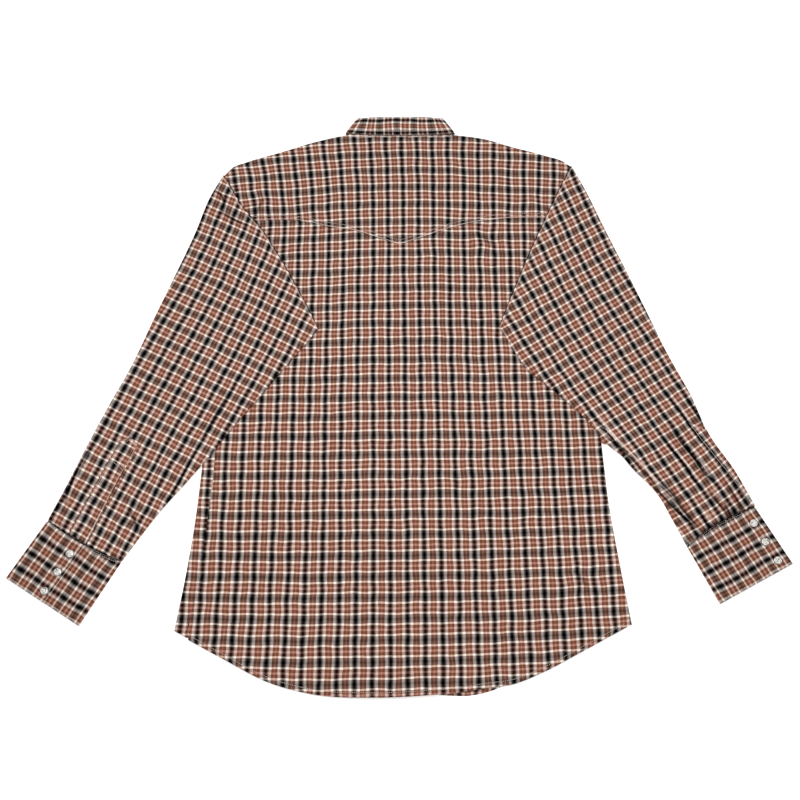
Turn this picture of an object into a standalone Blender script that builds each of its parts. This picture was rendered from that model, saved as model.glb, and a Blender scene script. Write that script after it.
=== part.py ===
"""Western snap shirt of plaid cotton, laid flat on a surface with its back up.

Frame: the origin is at the middle of the footprint, on the surface. +X points to the wearer's
right, +Y from the hem to the collar and +Z up. Left and right are the wearer's own.
Every piece of cloth is its outer face, worked out on a grid, with the wall grown inwards.
Sizes are in millimetres and become metres when a mesh is made.
"""
import bpy
import numpy as np

MM = 0.001

# Cloth
CLOTH = 1.0              # wall of one layer of shirting
CUFF_WALL = 1.3          # wall of an interlined cuff
GAP = 0.3                # between pieces that are sewn or laid together
LAP = CLOTH + GAP        # how far a piece that lies on another stands above it
BODY_THICK = 3.0         # fronts and back together at a side fold
SIDE_LIP = 16.0          # how far the left front wraps onto the back
LIP_FULL = 15.0          # level from which it does so in full
EDGE_LIP = 3.0           # how far inside the outline the back ends along the armholes
SIDE_TUCK = 8.0          # how far the back wraps under at the right

# Snaps
SNAP_RADIUS = 5.6
FRONT_SNAP_HEIGHT = 1.0
CUFF_SNAP_HEIGHT = 1.8
SNAP_SIDES = 12
SNAP_PROFILE = (         # from the back to the dome: shares of the radius and of the height
    (0.86, 0.0),
    (1.0, 0.2),
    (1.0, 0.5),
    (0.84, 0.72),
    (0.76, 0.66),
    (0.45, 0.92),
)

# Front opening
PLACKET_EDGE = 19.0      # x of the edge of the left front, and how far the right one passes the middle
PLACKET_WIDTH = 36.0
PLACKET_COLUMNS = 4
PLACKET_ROWS = 15
FIRST_SNAP = 262.0
SNAP_STEP = -87.0
FRONT_SNAPS = 7
COLLAR_SNAP = 322.0
PLACKET_RISE = FRONT_SNAP_HEIGHT + GAP
LEFT_FRONT_RISE = PLACKET_RISE + LAP
RIGHT_FRONT_RISE = LEFT_FRONT_RISE + LAP
BACK_RISE = 3.4          # of the back over the front opening
COLLAR_RISE = 0.9        # of the back over the collar under the fronts
TURN_STEPS = 4           # flats round the half circle of a fold

# Where the layers rise over what lies under them: levels or distances from the middle at which a
# rise starts and is complete
FRONT_RISE_X = (75, 30)           # fronts over the placket
FRONT_COLLAR_X = (165, 123)       # fronts over the collar leaf
FRONT_COLLAR_Y = (190, 231)
BACK_RISE_X = (110, 34)           # back over the fronts' opening
BACK_RISE_Y = (366, 322)
BACK_COLLAR_X = (158, 126)        # back over the lifted fronts
BACK_COLLAR_Y = (160, 195)
SLEEVE_YOKE_Y = (160, 205)        # sleeves from the back onto the yoke

# Outline of the body: level y, x of the fold or armhole edge
LEFT_SIDE = ((320, -250), (262, -238), (200, -230), (135, -236), (75, -251), (0, -257),
             (-125, -261.5), (-190, -266.5), (-250, -273.5), (-330, -285.6))
RIGHT_SIDE = ((335, 243), (262, 234), (200, 228), (135, 235), (75, 253), (0, 261),
              (-80, 266.4), (-172, 272.9), (-237, 281.2), (-321, 293.1))
UNDERARM = 75.0          # level where the armholes end and the side seams begin
SIDE_ROWS = 16           # levels from the underarm to the hem, the same for back and fronts
ARM_ROWS = 7             # levels above the underarm

# Edges across the body: x, level y
BACK_HEM = ((-286, -330.3), (-225, -363), (-166, -393), (-108, -408.5), (-33, -412.9),
            (30, -410.3), (58, -408), (84, -404.6), (108, -400.5), (138, -396.6), (179, -381),
            (228, -355.6), (293, -320.8))
FRONT_HEM = ((-286, -329), (-225, -359), (-166, -388), (-108, -403.5), (-33, -408),
             (30, -407.5), (62, -409.6), (84, -409.8), (108, -405.4), (138, -394), (179, -377),
             (228, -352), (293, -319.5))
HEM_STEP = 1.0           # how much higher the fronts end at the side seams
SHOULDERS = ((-250, 320), (-240, 332), (-220, 341.5), (-176, 356.2), (-128.6, 372.2), (-75.5, 385.9),
             (75.5, 385.9), (120.3, 379.1), (160.2, 366.8), (209.7, 351.7), (232, 343.5), (243, 335))
YOKE_SEAM = ((-233, 247), (-136, 247), (-105, 239.4), (-62, 230.7), (-25, 217.6), (0, 210.5),
             (21, 216.9), (49, 227.7), (84, 240.2), (129, 249.6), (230, 253))
FRONT_NECK = ((0, 309.2), (20, 310), (45, 319.5), (66, 339), (75.5, 355.6))
NECK_SIDE = 75.5         # x where the neck meets the shoulder
BACK_NECK = 386.0        # level of the neck seam at the middle of the back
BACK_NECK_RISE = 0.0     # how much higher it is at the shoulders
FLAP_X = (-250.0, -75.5, 75.5, 243.0)       # lower edge of the yoke on the fronts
FLAP_Y = (295.0, 355.9, 355.9, 308.0)
FLAP_START = 2.2         # distance from the shoulder fold where the flap lies flat
YOKE_LAP = 8.0           # of the yoke over the back
YOKE_ROWS = 7
NECK_COLUMNS = (-70, 70)      # columns at the seam that run up to the two ends of the neck
YOKE_COLUMNS = (-233, -207, -181, -153, -125, -97, -70, -46, -23, 0,
                23, 46, 70, 97, 125, 153, 181, 207, 230)
FRONT_COLUMNS = (-19, 0, 20, 45, 66, 75.5, 103, 131, 159, 187, 214)   # from the opening outwards

# Sleeves, from the armhole to the cuff seam: place along the sleeve, outer fold x and y, inner fold
# x and y, bow of the section towards the body, thickness at the folds, puff in the middle,
# lift of the outer fold
LEFT_SLEEVE = (
    (0.00, -250, 320, -111, 84, 6.5, 2.6, 0.0, 0),
    (0.07, -267, 286, -128, 61, 6.0, 2.9, 0.6, 0),
    (0.18, -286, 229, -156, 26, 4.0, 3.4, 1.4, 0),
    (0.31, -312, 163, -188, -16, 2.0, 3.6, 1.8, 0),
    (0.44, -338, 96, -221, -57, 0.0, 3.6, 2.0, 0),
    (0.57, -363, 30, -250.6, -98, 0.0, 3.6, 2.0, 0),
    (0.69, -391, -30, -281.8, -137.4, 0.0, 3.6, 2.0, 0),
    (0.80, -415, -85, -311, -173, -1.0, 3.6, 1.8, 0),
    (0.90, -436, -136, -335, -206, -2.0, 3.6, 1.4, 0),
    (1.00, -458, -186, -358, -240, -4.0, 3.4, 1.0, 0),
)
RIGHT_SLEEVE = (
    (0.00, 243, 335, 135, 88, 3.5, 2.6, 0.0, 0),
    (0.07, 259, 301, 148, 63, 3.0, 2.9, 0.6, 0),
    (0.18, 282, 244, 170, 26, 2.0, 3.4, 1.4, 0),
    (0.31, 310, 179, 208, -9, 1.0, 3.6, 1.8, 0),
    (0.44, 336.6, 112.4, 245, -45, 0.0, 3.6, 2.0, 0),
    (0.57, 362.4, 46.8, 272, -80, 0.0, 3.6, 2.0, 0.5),
    (0.69, 389.6, -13.7, 307, -118, 0.0, 3.6, 2.0, 1.5),
    (0.80, 410.4, -70.8, 336, -150, 1.0, 3.6, 2.0, 1.5),
    (0.90, 438.6, -117.6, 354.2, -186, 3.0, 3.6, 1.8, 1.5),
    (1.00, 462, -167, 370.2, -221, 6.0, 3.4, 1.4, 1.5),
)
SLEEVE_STATIONS = 21
SLEEVE_TOP_POINTS = 15
SLEEVE_UNDER_POINTS = 7
SLEEVE_FALL = (35.0, 85.0)    # how far outside the body a sleeve leaves it, and meets the surface
PILLOW_POWER = 0.7       # lower makes the puffed section boxier
LIFT_ACROSS = (0.55, 0.15)    # places across between which the outer fold's lift grows
FOLD_MARGIN = 0.07       # share of a sleeve at its edges and ends with no folds

# Large folds: start x and y, end x and y, half width, height of the ridge or depth of the trough
LEFT_FOLDS = (
    (-214, 12, -300, -152, 9, -1.2),
    (-232, 16, -312, -150, 9, 1.0),
    (-414, -92, -440, -168, 7, -1.1),
    (-300, 150, -352, -20, 16, 0.8),
)
RIGHT_FOLDS = (
    (343, -160, 384, -200, 6, -1.4),
    (330, -122, 378, -190, 7, 1.4),
    (262, -66, 330, -140, 8, -1.2),
    (276, -52, 350, -135, 9, 1.2),
    (390, -104, 424, -160, 7, 1.2),
    (372, -96, 408, -178, 7, -1.0),
)
BACK_FOLDS = (
    (102, 232, 132, 206, 8, 0.9),
    (-190, 160, -150, -120, 26, 0.8),
    (186, 120, 150, -160, 28, 0.9),
    (-60, -150, -96, -380, 24, 0.7),
    (150, -170, 196, -330, 20, 0.9),
    (60, -120, 44, -330, 26, 0.6),
    (-210, -140, -222, -320, 20, 0.8),
)

# Where the sleeves begin to cover the back: level y, distance from the middle
COVER_Y = (-150, -96, -57, -16, 26, 84, 320)
COVER_X = (262, 240, 212, 180, 146, 104, 240)
COVER_FADE = 25          # the back's folds fade out over this distance

# Sleeve plackets: place along the sleeve, then the two edges as places across it, from the outer
# fold at 0 to the inner one at 1; edges below 0 lie under the sleeve
LEFT_TOWER = (
    (0.703, 0.335, 0.43),
    (0.730, 0.272, 0.455),
    (0.79, 0.278, 0.470),
    (0.86, 0.284, 0.492),
    (0.93, 0.294, 0.520),
    (0.996, 0.303, 0.548),
)
RIGHT_TOWER = (
    (0.735, 0.0, 0.15),
    (0.757, -0.06, 0.148),
    (0.815, -0.09, 0.11),
    (0.88, -0.115, 0.092),
    (0.95, -0.14, 0.055),
    (0.996, -0.15, 0.03),
)
TOWER_POINTS = 5
TOWER_TUCK = 0.03        # least share of the width that a strip passing the fold lies under

# Cuffs: outer corners at the end, inner corners at the end; the seam end takes the sleeve's corners
LEFT_CUFF_END = ((-504.2, -261.1), (-406.5, -322.8))
RIGHT_CUFF_END = ((504.2, -242.2), (406.4, -294.7))
CUFF_TOP = 4.6           # top of the overlapping end
CUFF_MIDDLE = 3.0        # top of the end under it
LEFT_OVERLAP = (60.0, 28.0)      # from the outer fold: end of the upper and of the lower layer
RIGHT_OVERLAP = (2.0, 35.0)
CUFF_STATIONS = 5
CUFF_POINTS = 7          # across each flat layer
CUFF_GAP = 0.5           # between a cuff and its sleeve
LEFT_CUFF_SNAPS = ((-424.5, -230.0), (-438.2, -253.9), (-453.1, -278.4))
RIGHT_CUFF_SNAPS = ((457.6, -189.5), (470.6, -214.2), (484.5, -238.7))

# Collar, half of it, from the middle of the back round to the front: fold x and y, outer edge x and y,
# neck seam x and y, turn in degrees from lying on the back (0) to lying under the front (180),
# distance of the top of the stand from the fold, length of the leaf's inner lip, and the angle at
# which its roll begins, from -90 below the fold to 90 above it
COLLAR = (
    (0, 412.9, 0, 383.5, 0, 386.6, 0, 2.7, 4, -90),
    (15, 412.9, 15, 383.5, 15, 386.6, 0, 2.7, 4, -90),
    (30, 412.8, 31, 383.7, 30, 386.7, 0, 2.7, 4, -90),
    (43, 412.4, 46, 384.1, 45, 386.8, 0, 2.7, 1.5, -90),
    (52, 411.4, 60, 384.9, 58, 386.9, 0, 2.8, 0, -40),
    (56, 410.2, 74.0, 386.0, 71.0, 386.4, 30, 2.3, 0, -25),
    (57.4, 409.6, 75.4, 386.1, 72.4, 386.4, 60, 2.3, 0, -25),
    (58, 409.2, 76.0, 386.1, 73.0, 386.4, 90, 2.3, 0, -25),
    (58, 408.8, 76.0, 386.0, 73.0, 386.2, 120, 2.3, 0, -25),
    (57.6, 408.0, 76.4, 385.6, 73.4, 385.6, 150, 2.3, 0, -25),
    (57, 405.0, 80, 380.0, 74.9, 380.0, 180, 2.9, 0, -55),
    (52, 382.0, 87, 350.0, 74.9, 356.1, 180, 2.9, 0.5, -90),
    (38, 359.0, 84, 316.0, 65.6, 339.4, 180, 2.7, 4, -90),
    (24, 347.0, 70, 291.0, 44.7, 320.0, 180, 6.5, 2, -90),
    (13, 341.5, 59, 276.0, 29.0, 314.1, 180, 6.5, 2, -90),
    (4, 339.0, 50, 266.0, 19.9, 310.6, 180, 6.5, 2, -90),
)
FOLD_TOP = 7.4           # height of the fold's middle on the back
FOLD_UNDER = 1.8         # and under the front
ROLL = 1.8               # radius of the rolled fold
ROLL_POINTS = 6
OPEN_ROLL = 60.0         # degrees cut off the roll where it turns round the neck
LEAF_TURN = 3.35         # height of the middle, and radius, of the leaf's edge where it turns under
SEAM_MIDDLE = 3.25       # height of the middle of the neck seam's turn
SEAM_TURN = 1.95         # and its radius
LEAF_BOW = 1.2           # how far the leaf is rounded outwards between fold and edge
STAND_PASS = 11.0        # how far each end of the stand passes the middle
STAND_END = (332.6, 310.3)    # levels of the top and the seam there
STAND_OVER_ROWS = 3      # rows at the right end of the stand that lie over the left end


def spline(rows, at):
    """Read a smooth curve at the given parameters.

    rows hold a parameter and one or more values. Each stretch is a cubic with the slopes of the
    curve at its two ends.
    """
    rows = np.asarray(rows, float)
    if rows[0, 0] > rows[-1, 0]:
        rows = rows[::-1]
    knots = rows[:, 0]
    values = rows[:, 1:]
    slopes = np.gradient(values, knots, axis=0)
    at = np.clip(np.asarray(at, float), knots[0], knots[-1])
    k = np.clip(np.searchsorted(knots, at) - 1, 0, len(knots) - 2)
    step = (knots[k + 1] - knots[k])[..., None]
    s = (at - knots[k])[..., None] / step
    start = (1 + 2 * s) * (1 - s) ** 2 * values[k] + s * (1 - s) ** 2 * step * slopes[k]
    end = s ** 2 * (3 - 2 * s) * values[k + 1] + s ** 2 * (s - 1) * step * slopes[k + 1]
    result = start + end
    return result[..., 0] if values.shape[1] == 1 else result


def ease(x, start, end):
    """Go smoothly from 0 at start to 1 at end; start may be the larger one."""
    s = np.clip((x - start) / (end - start), 0, 1)
    return s * s * (3 - 2 * s)


def fold_height(folds, x, y):
    """Height added by the folds: a bell across each line, fading to nothing at its ends."""
    total = np.zeros(np.shape(x))
    for x0, y0, x1, y1, width, height in folds:
        length = np.hypot(x1 - x0, y1 - y0)
        along = ((x - x0) * (x1 - x0) + (y - y0) * (y1 - y0)) / length ** 2
        across = ((x - x0) * (y1 - y0) - (y - y0) * (x1 - x0)) / length
        fade = np.sin(np.pi * np.clip(along, 0, 1)) ** 0.6
        total += height * fade * np.exp(-(across / width) ** 2)
    return total


def collar_lift(x, y):
    """Height of the fronts above the surface where the collar leaf lies under them."""
    return LAP * ease(y, *FRONT_COLLAR_Y) * ease(np.abs(x), *FRONT_COLLAR_X)


def front_under(x, y, rise):
    """Height of the outer face of a front: on the surface, over the collar leaf or over the placket."""
    return np.maximum(collar_lift(x, y), rise * ease(np.abs(x), *FRONT_RISE_X))


def back_top(x, y):
    """Height of the outer face of the back."""
    ridge = ease(np.abs(x), *BACK_RISE_X) * ease(y, *BACK_RISE_Y)
    collar = ease(y, *BACK_COLLAR_Y) * ease(np.abs(x), *BACK_COLLAR_X)
    side = np.interp(y, COVER_Y, COVER_X)
    folds = ease(np.abs(x), side, side - COVER_FADE) * fold_height(BACK_FOLDS, x, y)
    return BODY_THICK + BACK_RISE * ridge + COLLAR_RISE * collar + folds


def yoke_top(x, y):
    """Height of the outer face of the yoke, which lies over the back."""
    return back_top(x, y) + LAP


def back_neck(x):
    return BACK_NECK + BACK_NECK_RISE * (x / NECK_SIDE) ** 2


def side_levels(start, end):
    """Levels down the side of the body, from the armhole to the hem."""
    return np.concatenate([np.linspace(start, UNDERARM, ARM_ROWS, endpoint=False),
                           np.linspace(UNDERARM, end, SIDE_ROWS)])


def side_lip(y):
    """How far inside the left outline the side seam lies on the back."""
    return EDGE_LIP + (SIDE_LIP - EDGE_LIP) * ease(y, UNDERARM, LIP_FULL)


def half_turn(steps):
    """Sines and cosines of the angles inside a half turn, its ends left out."""
    angles = np.pi * np.arange(1, steps) / steps
    return np.sin(angles), np.cos(angles)


def material(name, colour, roughness, metallic=0.0):
    made = bpy.data.materials.new(name)
    made.use_nodes = True
    shader = made.node_tree.nodes["Principled BSDF"]
    shader.inputs["Base Color"].default_value = (*colour, 1.0)
    shader.inputs["Roughness"].default_value = roughness
    shader.inputs["Metallic"].default_value = metallic
    return made


def add_object(name, vertices, faces, finish):
    """Make an object from points in millimetres."""
    mesh = bpy.data.meshes.new(name)
    mesh.from_pydata((np.asarray(vertices) * MM).tolist(), [], faces)
    mesh.validate()
    mesh.materials.append(finish)
    mesh.shade_smooth()
    piece = bpy.data.objects.new(name, mesh)
    bpy.context.scene.collection.objects.link(piece)
    return piece


def add_cloth(name, points, finish, wall=CLOTH, keep=None, ring=False, flip=False):
    """Make one piece of cloth from a grid of points on its outer face.

    points has rows, columns and xyz. keep says which cells are cloth, ring joins the last column to
    the first, and flip turns the outer face over.
    """
    rows, columns = points.shape[:2]
    across = columns if ring else columns - 1
    if keep is None:
        keep = np.ones((rows - 1, across), bool)
    faces = []
    for i in range(rows - 1):
        for j in range(across):
            if keep[i, j]:
                k = (j + 1) % columns
                start, end = i * columns, (i + 1) * columns
                corners = [start + j, start + k, end + k, end + j]
                faces.append(corners[::-1] if flip else corners)
    used = sorted({corner for face in faces for corner in face})
    place = {corner: index for index, corner in enumerate(used)}
    faces = [[place[corner] for corner in face] for face in faces]
    piece = add_object(name, points.reshape(-1, 3)[used], faces, finish)
    solidify = piece.modifiers.new("Wall", "SOLIDIFY")
    solidify.thickness = wall * MM
    solidify.offset = -1.0
    solidify.use_even_offset = True
    solidify.use_quality_normals = True
    return piece


def back_panel(finish):
    """The back, from under the yoke to the hem.

    Across, each row runs from the left side seam to the right fold, round it and a little way under.
    """
    columns = np.array(YOKE_COLUMNS, float)
    across = (columns - columns[0]) / (columns[-1] - columns[0])
    seam = spline(YOKE_SEAM, columns) + YOKE_LAP
    left_y = side_levels(seam[0], LEFT_SIDE[-1][0])
    right_y = side_levels(seam[-1], RIGHT_SIDE[-1][0])
    left_down = (left_y - left_y[0]) / (left_y[-1] - left_y[0])
    right_down = (right_y - right_y[0]) / (right_y[-1] - right_y[0])
    down = left_down[:, None] + (right_down - left_down)[:, None] * across
    radius = BODY_THICK / 2
    left = spline(LEFT_SIDE, left_y) + side_lip(left_y) + GAP
    right = spline(RIGHT_SIDE, right_y) - radius
    x = left[:, None] + (right - left)[:, None] * across
    hem = spline(BACK_HEM, x[-1])
    hem[[0, -1]] = left_y[-1], right_y[-1]
    y = seam + (hem - seam) * down
    top = np.stack([x, y, back_top(x, y)], axis=-1)
    sine, cosine = half_turn(TURN_STEPS)
    turn_x = right[:, None] + radius * sine
    turn_y = np.broadcast_to(right_y[:, None], turn_x.shape)
    turn_z = np.broadcast_to(radius + radius * cosine, turn_x.shape)
    turn = np.stack([turn_x, turn_y, turn_z], axis=-1)
    tuck_x = right[:, None] - np.array([0.0, SIDE_TUCK])
    tuck_y = np.broadcast_to(right_y[:, None], tuck_x.shape)
    tuck = np.stack([tuck_x, tuck_y, np.zeros(tuck_x.shape)], axis=-1)
    points = np.concatenate([top, turn, tuck], axis=1)
    keep = np.ones((len(points) - 1, points.shape[1] - 1), bool)
    keep[:ARM_ROWS, len(columns) - 1:] = False
    return add_cloth("back_panel", points, finish, keep=keep, flip=True)


def front_panel(name, finish, side):
    """One front, from its edge at the opening to the side.

    side is -1 for the left front, which wraps up onto the back, and 1 for the right one, which ends
    where the back's tuck begins.
    """
    sides = LEFT_SIDE if side < 0 else RIGHT_SIDE
    rise = LEFT_FRONT_RISE if side < 0 else RIGHT_FRONT_RISE
    radius = BODY_THICK / 2
    outer_y = side_levels(FLAP_Y[0 if side < 0 else -1], sides[-1][0])
    outer_y[-1] += HEM_STEP
    outer = spline(sides, outer_y) - side * radius
    if side > 0:
        outer[ARM_ROWS:] -= SIDE_TUCK + GAP
    edge = side * FRONT_COLUMNS[0]
    across = (side * np.array(FRONT_COLUMNS, float) - edge) / (outer[0] - edge)
    across = np.append(across, 1.0)
    x = edge + (outer - edge)[:, None] * across
    neck = spline(FRONT_NECK, np.abs(x[0]))
    flap = np.interp(x[0], FLAP_X, FLAP_Y) - GAP
    top = np.where(np.abs(x[0]) > NECK_SIDE - GAP, flap, neck)
    hem = spline(FRONT_HEM, x[-1])
    hem[-1] = outer_y[-1]
    down = (outer_y - outer_y[0]) / (outer_y[-1] - outer_y[0])
    y = top + (hem - top) * down[:, None]
    under = np.stack([x, y, front_under(x, y, rise)], axis=-1)
    if side > 0:
        return add_cloth(name, under, finish)
    sine, cosine = half_turn(TURN_STEPS)
    turn_x = outer[:, None] - radius * sine
    turn_y = np.broadcast_to(y[:, -1:], turn_x.shape)
    turn_z = np.broadcast_to(radius - radius * cosine, turn_x.shape)
    turn = np.stack([turn_x, turn_y, turn_z], axis=-1)
    wrap_x = np.stack([outer, outer - radius + side_lip(outer_y)], axis=1)
    wrap_y = np.broadcast_to(y[:, -1:], wrap_x.shape)
    wrap = np.stack([wrap_x, wrap_y, np.full(wrap_x.shape, BODY_THICK)], axis=-1)
    points = np.concatenate([under, turn, wrap], axis=1)
    keep = np.ones((len(points) - 1, points.shape[1] - 1), bool)
    keep[:ARM_ROWS, len(across) - 1:] = False
    return add_cloth(name, points, finish, keep=keep, flip=True)


def front_placket(finish):
    """The band on the edge of the left front, between it and the surface."""
    x = np.linspace(PLACKET_EDGE - PLACKET_WIDTH, PLACKET_EDGE, PLACKET_COLUMNS)
    hem = spline(FRONT_HEM, x)
    neck = spline(FRONT_NECK, np.abs(x)) - GAP
    y = hem + (neck - hem) * np.linspace(1, 0, PLACKET_ROWS)[:, None]
    x = np.broadcast_to(x, y.shape)
    points = np.stack([x, y, np.full(y.shape, PLACKET_RISE)], axis=-1)
    return add_cloth("front_placket", points, finish)


def back_yoke(finish):
    """The yoke, from its seam on the back up over the shoulders and a little way down the fronts.

    The columns between the two ends of the neck stop at the neck seam.
    """
    seam_x = np.array(YOKE_COLUMNS, float)
    top_x = np.interp(seam_x, (seam_x[0], *NECK_COLUMNS, seam_x[-1]), FLAP_X)
    at_neck = np.abs(top_x) < NECK_SIDE - GAP
    seam_y = spline(YOKE_SEAM, seam_x)
    shoulder = spline(SHOULDERS, top_x)
    low = collar_lift(top_x, shoulder)
    high = yoke_top(top_x, shoulder)
    radius = np.where(at_neck, 0, (high - low) / 2)
    end_y = np.where(at_neck, back_neck(top_x), shoulder - radius)
    up = np.linspace(0, 1, YOKE_ROWS)[:, None]
    x = seam_x + (top_x - seam_x) * up
    y = seam_y + (end_y - seam_y) * up
    top = np.stack([x, y, yoke_top(x, y)], axis=-1)
    sine, cosine = half_turn(TURN_STEPS)
    turn_y = end_y + radius * sine[:, None]
    turn_z = (high + low) / 2 + radius * cosine[:, None]
    turn_x = np.broadcast_to(top_x, turn_y.shape)
    turn = np.stack([turn_x, turn_y, turn_z], axis=-1)
    low_y = shoulder - FLAP_START
    flap_y = low_y + (np.interp(top_x, FLAP_X, FLAP_Y) - low_y) * np.linspace(0, 1, 3)[:, None]
    flap_x = np.broadcast_to(top_x, flap_y.shape)
    flap = np.stack([flap_x, flap_y, collar_lift(flap_x, flap_y)], axis=-1)
    points = np.concatenate([top, turn, flap], axis=0)
    keep = np.ones((len(points) - 1, len(seam_x) - 1), bool)
    keep[len(up) - 1:, at_neck[:-1] | at_neck[1:]] = False
    return add_cloth("back_yoke", points, finish, keep=keep)


def sleeve_rest(x, y, side):
    """Height of what a sleeve lies on: the body, then the surface further out."""
    sides = LEFT_SIDE if side < 0 else RIGHT_SIDE
    outside = side * (x - spline(sides, y))
    body = BODY_THICK + GAP + LAP * ease(y, *SLEEVE_YOKE_Y)
    return body * ease(outside, SLEEVE_FALL[1], SLEEVE_FALL[0])


def sleeve_section(table, side, along, across):
    """Plan of a sleeve and its heights, for places along it and across it.

    Returns x, y, the height of its underside and its thickness there.
    """
    along, across = np.broadcast_arrays(along, across)
    values = spline(table, along)
    outer = values[..., 0:2]
    inner = values[..., 2:4]
    bow, edge, puff, lift = (values[..., k] for k in range(4, 8))
    span = inner - outer
    width = np.linalg.norm(span, axis=-1)
    direction = span / width[..., None]
    upwards = -side * np.stack([-direction[..., 1], direction[..., 0]], -1)
    place = edge / 2 + across * (width - edge)
    sag = bow * (1 - (2 * across - 1) ** 2)
    plan = outer + direction * place[..., None] + upwards * sag[..., None]
    x, y = plan[..., 0], plan[..., 1]
    pillow = (4 * across * (1 - across)) ** PILLOW_POWER
    quiet = ease(along, 1, 1 - FOLD_MARGIN) * ease(along, 0, FOLD_MARGIN)
    quiet = quiet * ease(across, 0, FOLD_MARGIN) * ease(across, 1, 1 - FOLD_MARGIN)
    folds = LEFT_FOLDS if side < 0 else RIGHT_FOLDS
    thick = edge + puff * pillow + quiet * fold_height(folds, x, y)
    rest = sleeve_rest(x, y, side) + lift * ease(across, *LIFT_ACROSS)
    return x, y, rest, thick


def sleeve_stations(tower_table):
    """Places along a sleeve where its sections are, one of them at the top of its placket."""
    return np.union1d(np.linspace(0, 1, SLEEVE_STATIONS), tower_table[0][0])


def sleeve(name, table, tower_table, side, finish):
    """One sleeve: a flattened tube, open at the armhole and at the cuff."""
    along = sleeve_stations(tower_table)[:, None]
    x, y, rest, thick = sleeve_section(table, side, along, np.linspace(0, 1, SLEEVE_TOP_POINTS))
    top = np.stack([x, y, rest + thick], axis=-1)
    x, y, rest, thick = sleeve_section(table, side, along, np.linspace(1, 0, SLEEVE_UNDER_POINTS))
    bottom = np.stack([x, y, rest], axis=-1)
    outward = fold_direction(table, along[:, 0])
    inner_fold = half_circle(top[:, -1], bottom[:, 0], outward)
    outer_fold = half_circle(bottom[:, -1], top[:, 0], -outward)
    points = np.concatenate([top, inner_fold, bottom, outer_fold], axis=1)
    return add_cloth(name, points, finish, ring=True, flip=side < 0)


def fold_direction(table, along):
    """Direction in plan from a sleeve's outer fold to its inner one."""
    values = spline(table, along)
    direction = values[:, 2:4] - values[:, 0:2]
    return direction / np.linalg.norm(direction, axis=1, keepdims=True)


def half_circle(start, end, outward):
    """Points of a half circle between two rows of points that lie above each other."""
    sine, cosine = half_turn(TURN_STEPS)
    middle = (start + end) / 2
    radius = (start - end)[:, 2:3] / 2
    x = middle[:, 0:1] + np.abs(radius) * sine * outward[:, 0:1]
    y = middle[:, 1:2] + np.abs(radius) * sine * outward[:, 1:2]
    z = middle[:, 2:3] + radius * cosine
    return np.stack([x, y, z], axis=-1)


def tower_placket(name, sleeve_table, tower_table, side, finish):
    """The placket on a sleeve's opening: a strip with a pointed end, a lap above the sleeve.

    Its points are the sleeve's own, moved out. Where the strip passes the outer fold it follows the
    half circle round and lies under the sleeve.
    """
    stations = sleeve_stations(tower_table)
    first, last = tower_table[0][0], tower_table[-1][0]
    along = np.append(stations[(stations >= first) & (stations < last)], last)
    edges = spline(tower_table, along)
    wraps = edges[:, 0].min() < 0
    start = np.maximum(edges[:, 0], 0.0)
    across = start[:, None] + (edges[:, 1] - start)[:, None] * np.linspace(0, 1, TOWER_POINTS)
    x, y, rest, thick = sleeve_section(sleeve_table, side, along[:, None], across)
    top = np.stack([x, y, rest + thick + LAP], axis=-1)
    if not wraps:
        return add_cloth(name, top, finish, flip=side < 0)
    outward = -fold_direction(sleeve_table, along)
    x, y, rest, thick = sleeve_section(sleeve_table, side, along, np.zeros(len(along)))
    below = np.stack([x, y, rest - LAP], axis=-1)
    fold = half_circle(below, top[:, 0], outward)
    x, y, rest, thick = sleeve_section(sleeve_table, side, along, np.maximum(-edges[:, 0], TOWER_TUCK))
    under = np.stack([x, y, rest - LAP], axis=-1)
    points = np.concatenate([under[:, None], below[:, None], fold, top], axis=1)
    return add_cloth(name, points, finish, flip=side < 0)


def cuff(name, sleeve_table, side, end, overlap, finish):
    """One cuff: a band rolled flat, its upper end lying over its lower one.

    The left cuff's upper end comes over from the outer fold, the right cuff's from the inner one.
    """
    outer_start = np.array(sleeve_table[-1][1:3], float)
    inner_start = np.array(sleeve_table[-1][3:5], float)
    outer_end, inner_end = np.array(end, float)
    bow, edge = sleeve_table[-1][5:7]
    down = np.linspace(0, 1, CUFF_STATIONS)[:, None]
    shift = CUFF_GAP * (outer_end - outer_start) / np.linalg.norm(outer_end - outer_start)
    outer = outer_start + shift + (outer_end - outer_start - shift) * down
    inner = inner_start + shift + (inner_end - inner_start - shift) * down
    span = inner - outer
    width = np.linalg.norm(span, axis=1, keepdims=True)
    direction = span / width
    upwards = -side * np.stack([-direction[:, 1], direction[:, 0]], -1)
    upper, lower = (np.full_like(width, end_place) for end_place in overlap)
    if side > 0:
        upper, lower = width - upper, width - lower
    top_radius, low_radius = CUFF_TOP / 2, CUFF_MIDDLE / 2
    sine, cosine = half_turn(TURN_STEPS)
    flat = np.linspace(0, 1, CUFF_POINTS)
    place = [upper + (top_radius - upper) * flat,
             top_radius - top_radius * sine + 0 * width,
             top_radius + (width - low_radius - top_radius) * flat,
             width - low_radius + low_radius * sine,
             width - low_radius + (lower - width + low_radius) * flat]
    height = [CUFF_TOP + 0 * flat,
              top_radius + top_radius * cosine,
              0 * flat,
              low_radius - low_radius * cosine,
              CUFF_MIDDLE + 0 * flat]
    place = np.concatenate(place, axis=1)
    height = np.broadcast_to(np.concatenate(height), place.shape)
    if side > 0:
        place = width - place
    across = np.clip((place - edge / 2) / (width - edge), 0, 1)
    sag = bow * (1 - (2 * across - 1) ** 2) * (1 - down)
    plan = outer[:, None] + direction[:, None] * place[..., None] + upwards[:, None] * sag[..., None]
    points = np.concatenate([plan, height[..., None]], axis=-1)
    return add_cloth(name, points, finish, wall=CUFF_WALL)


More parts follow.
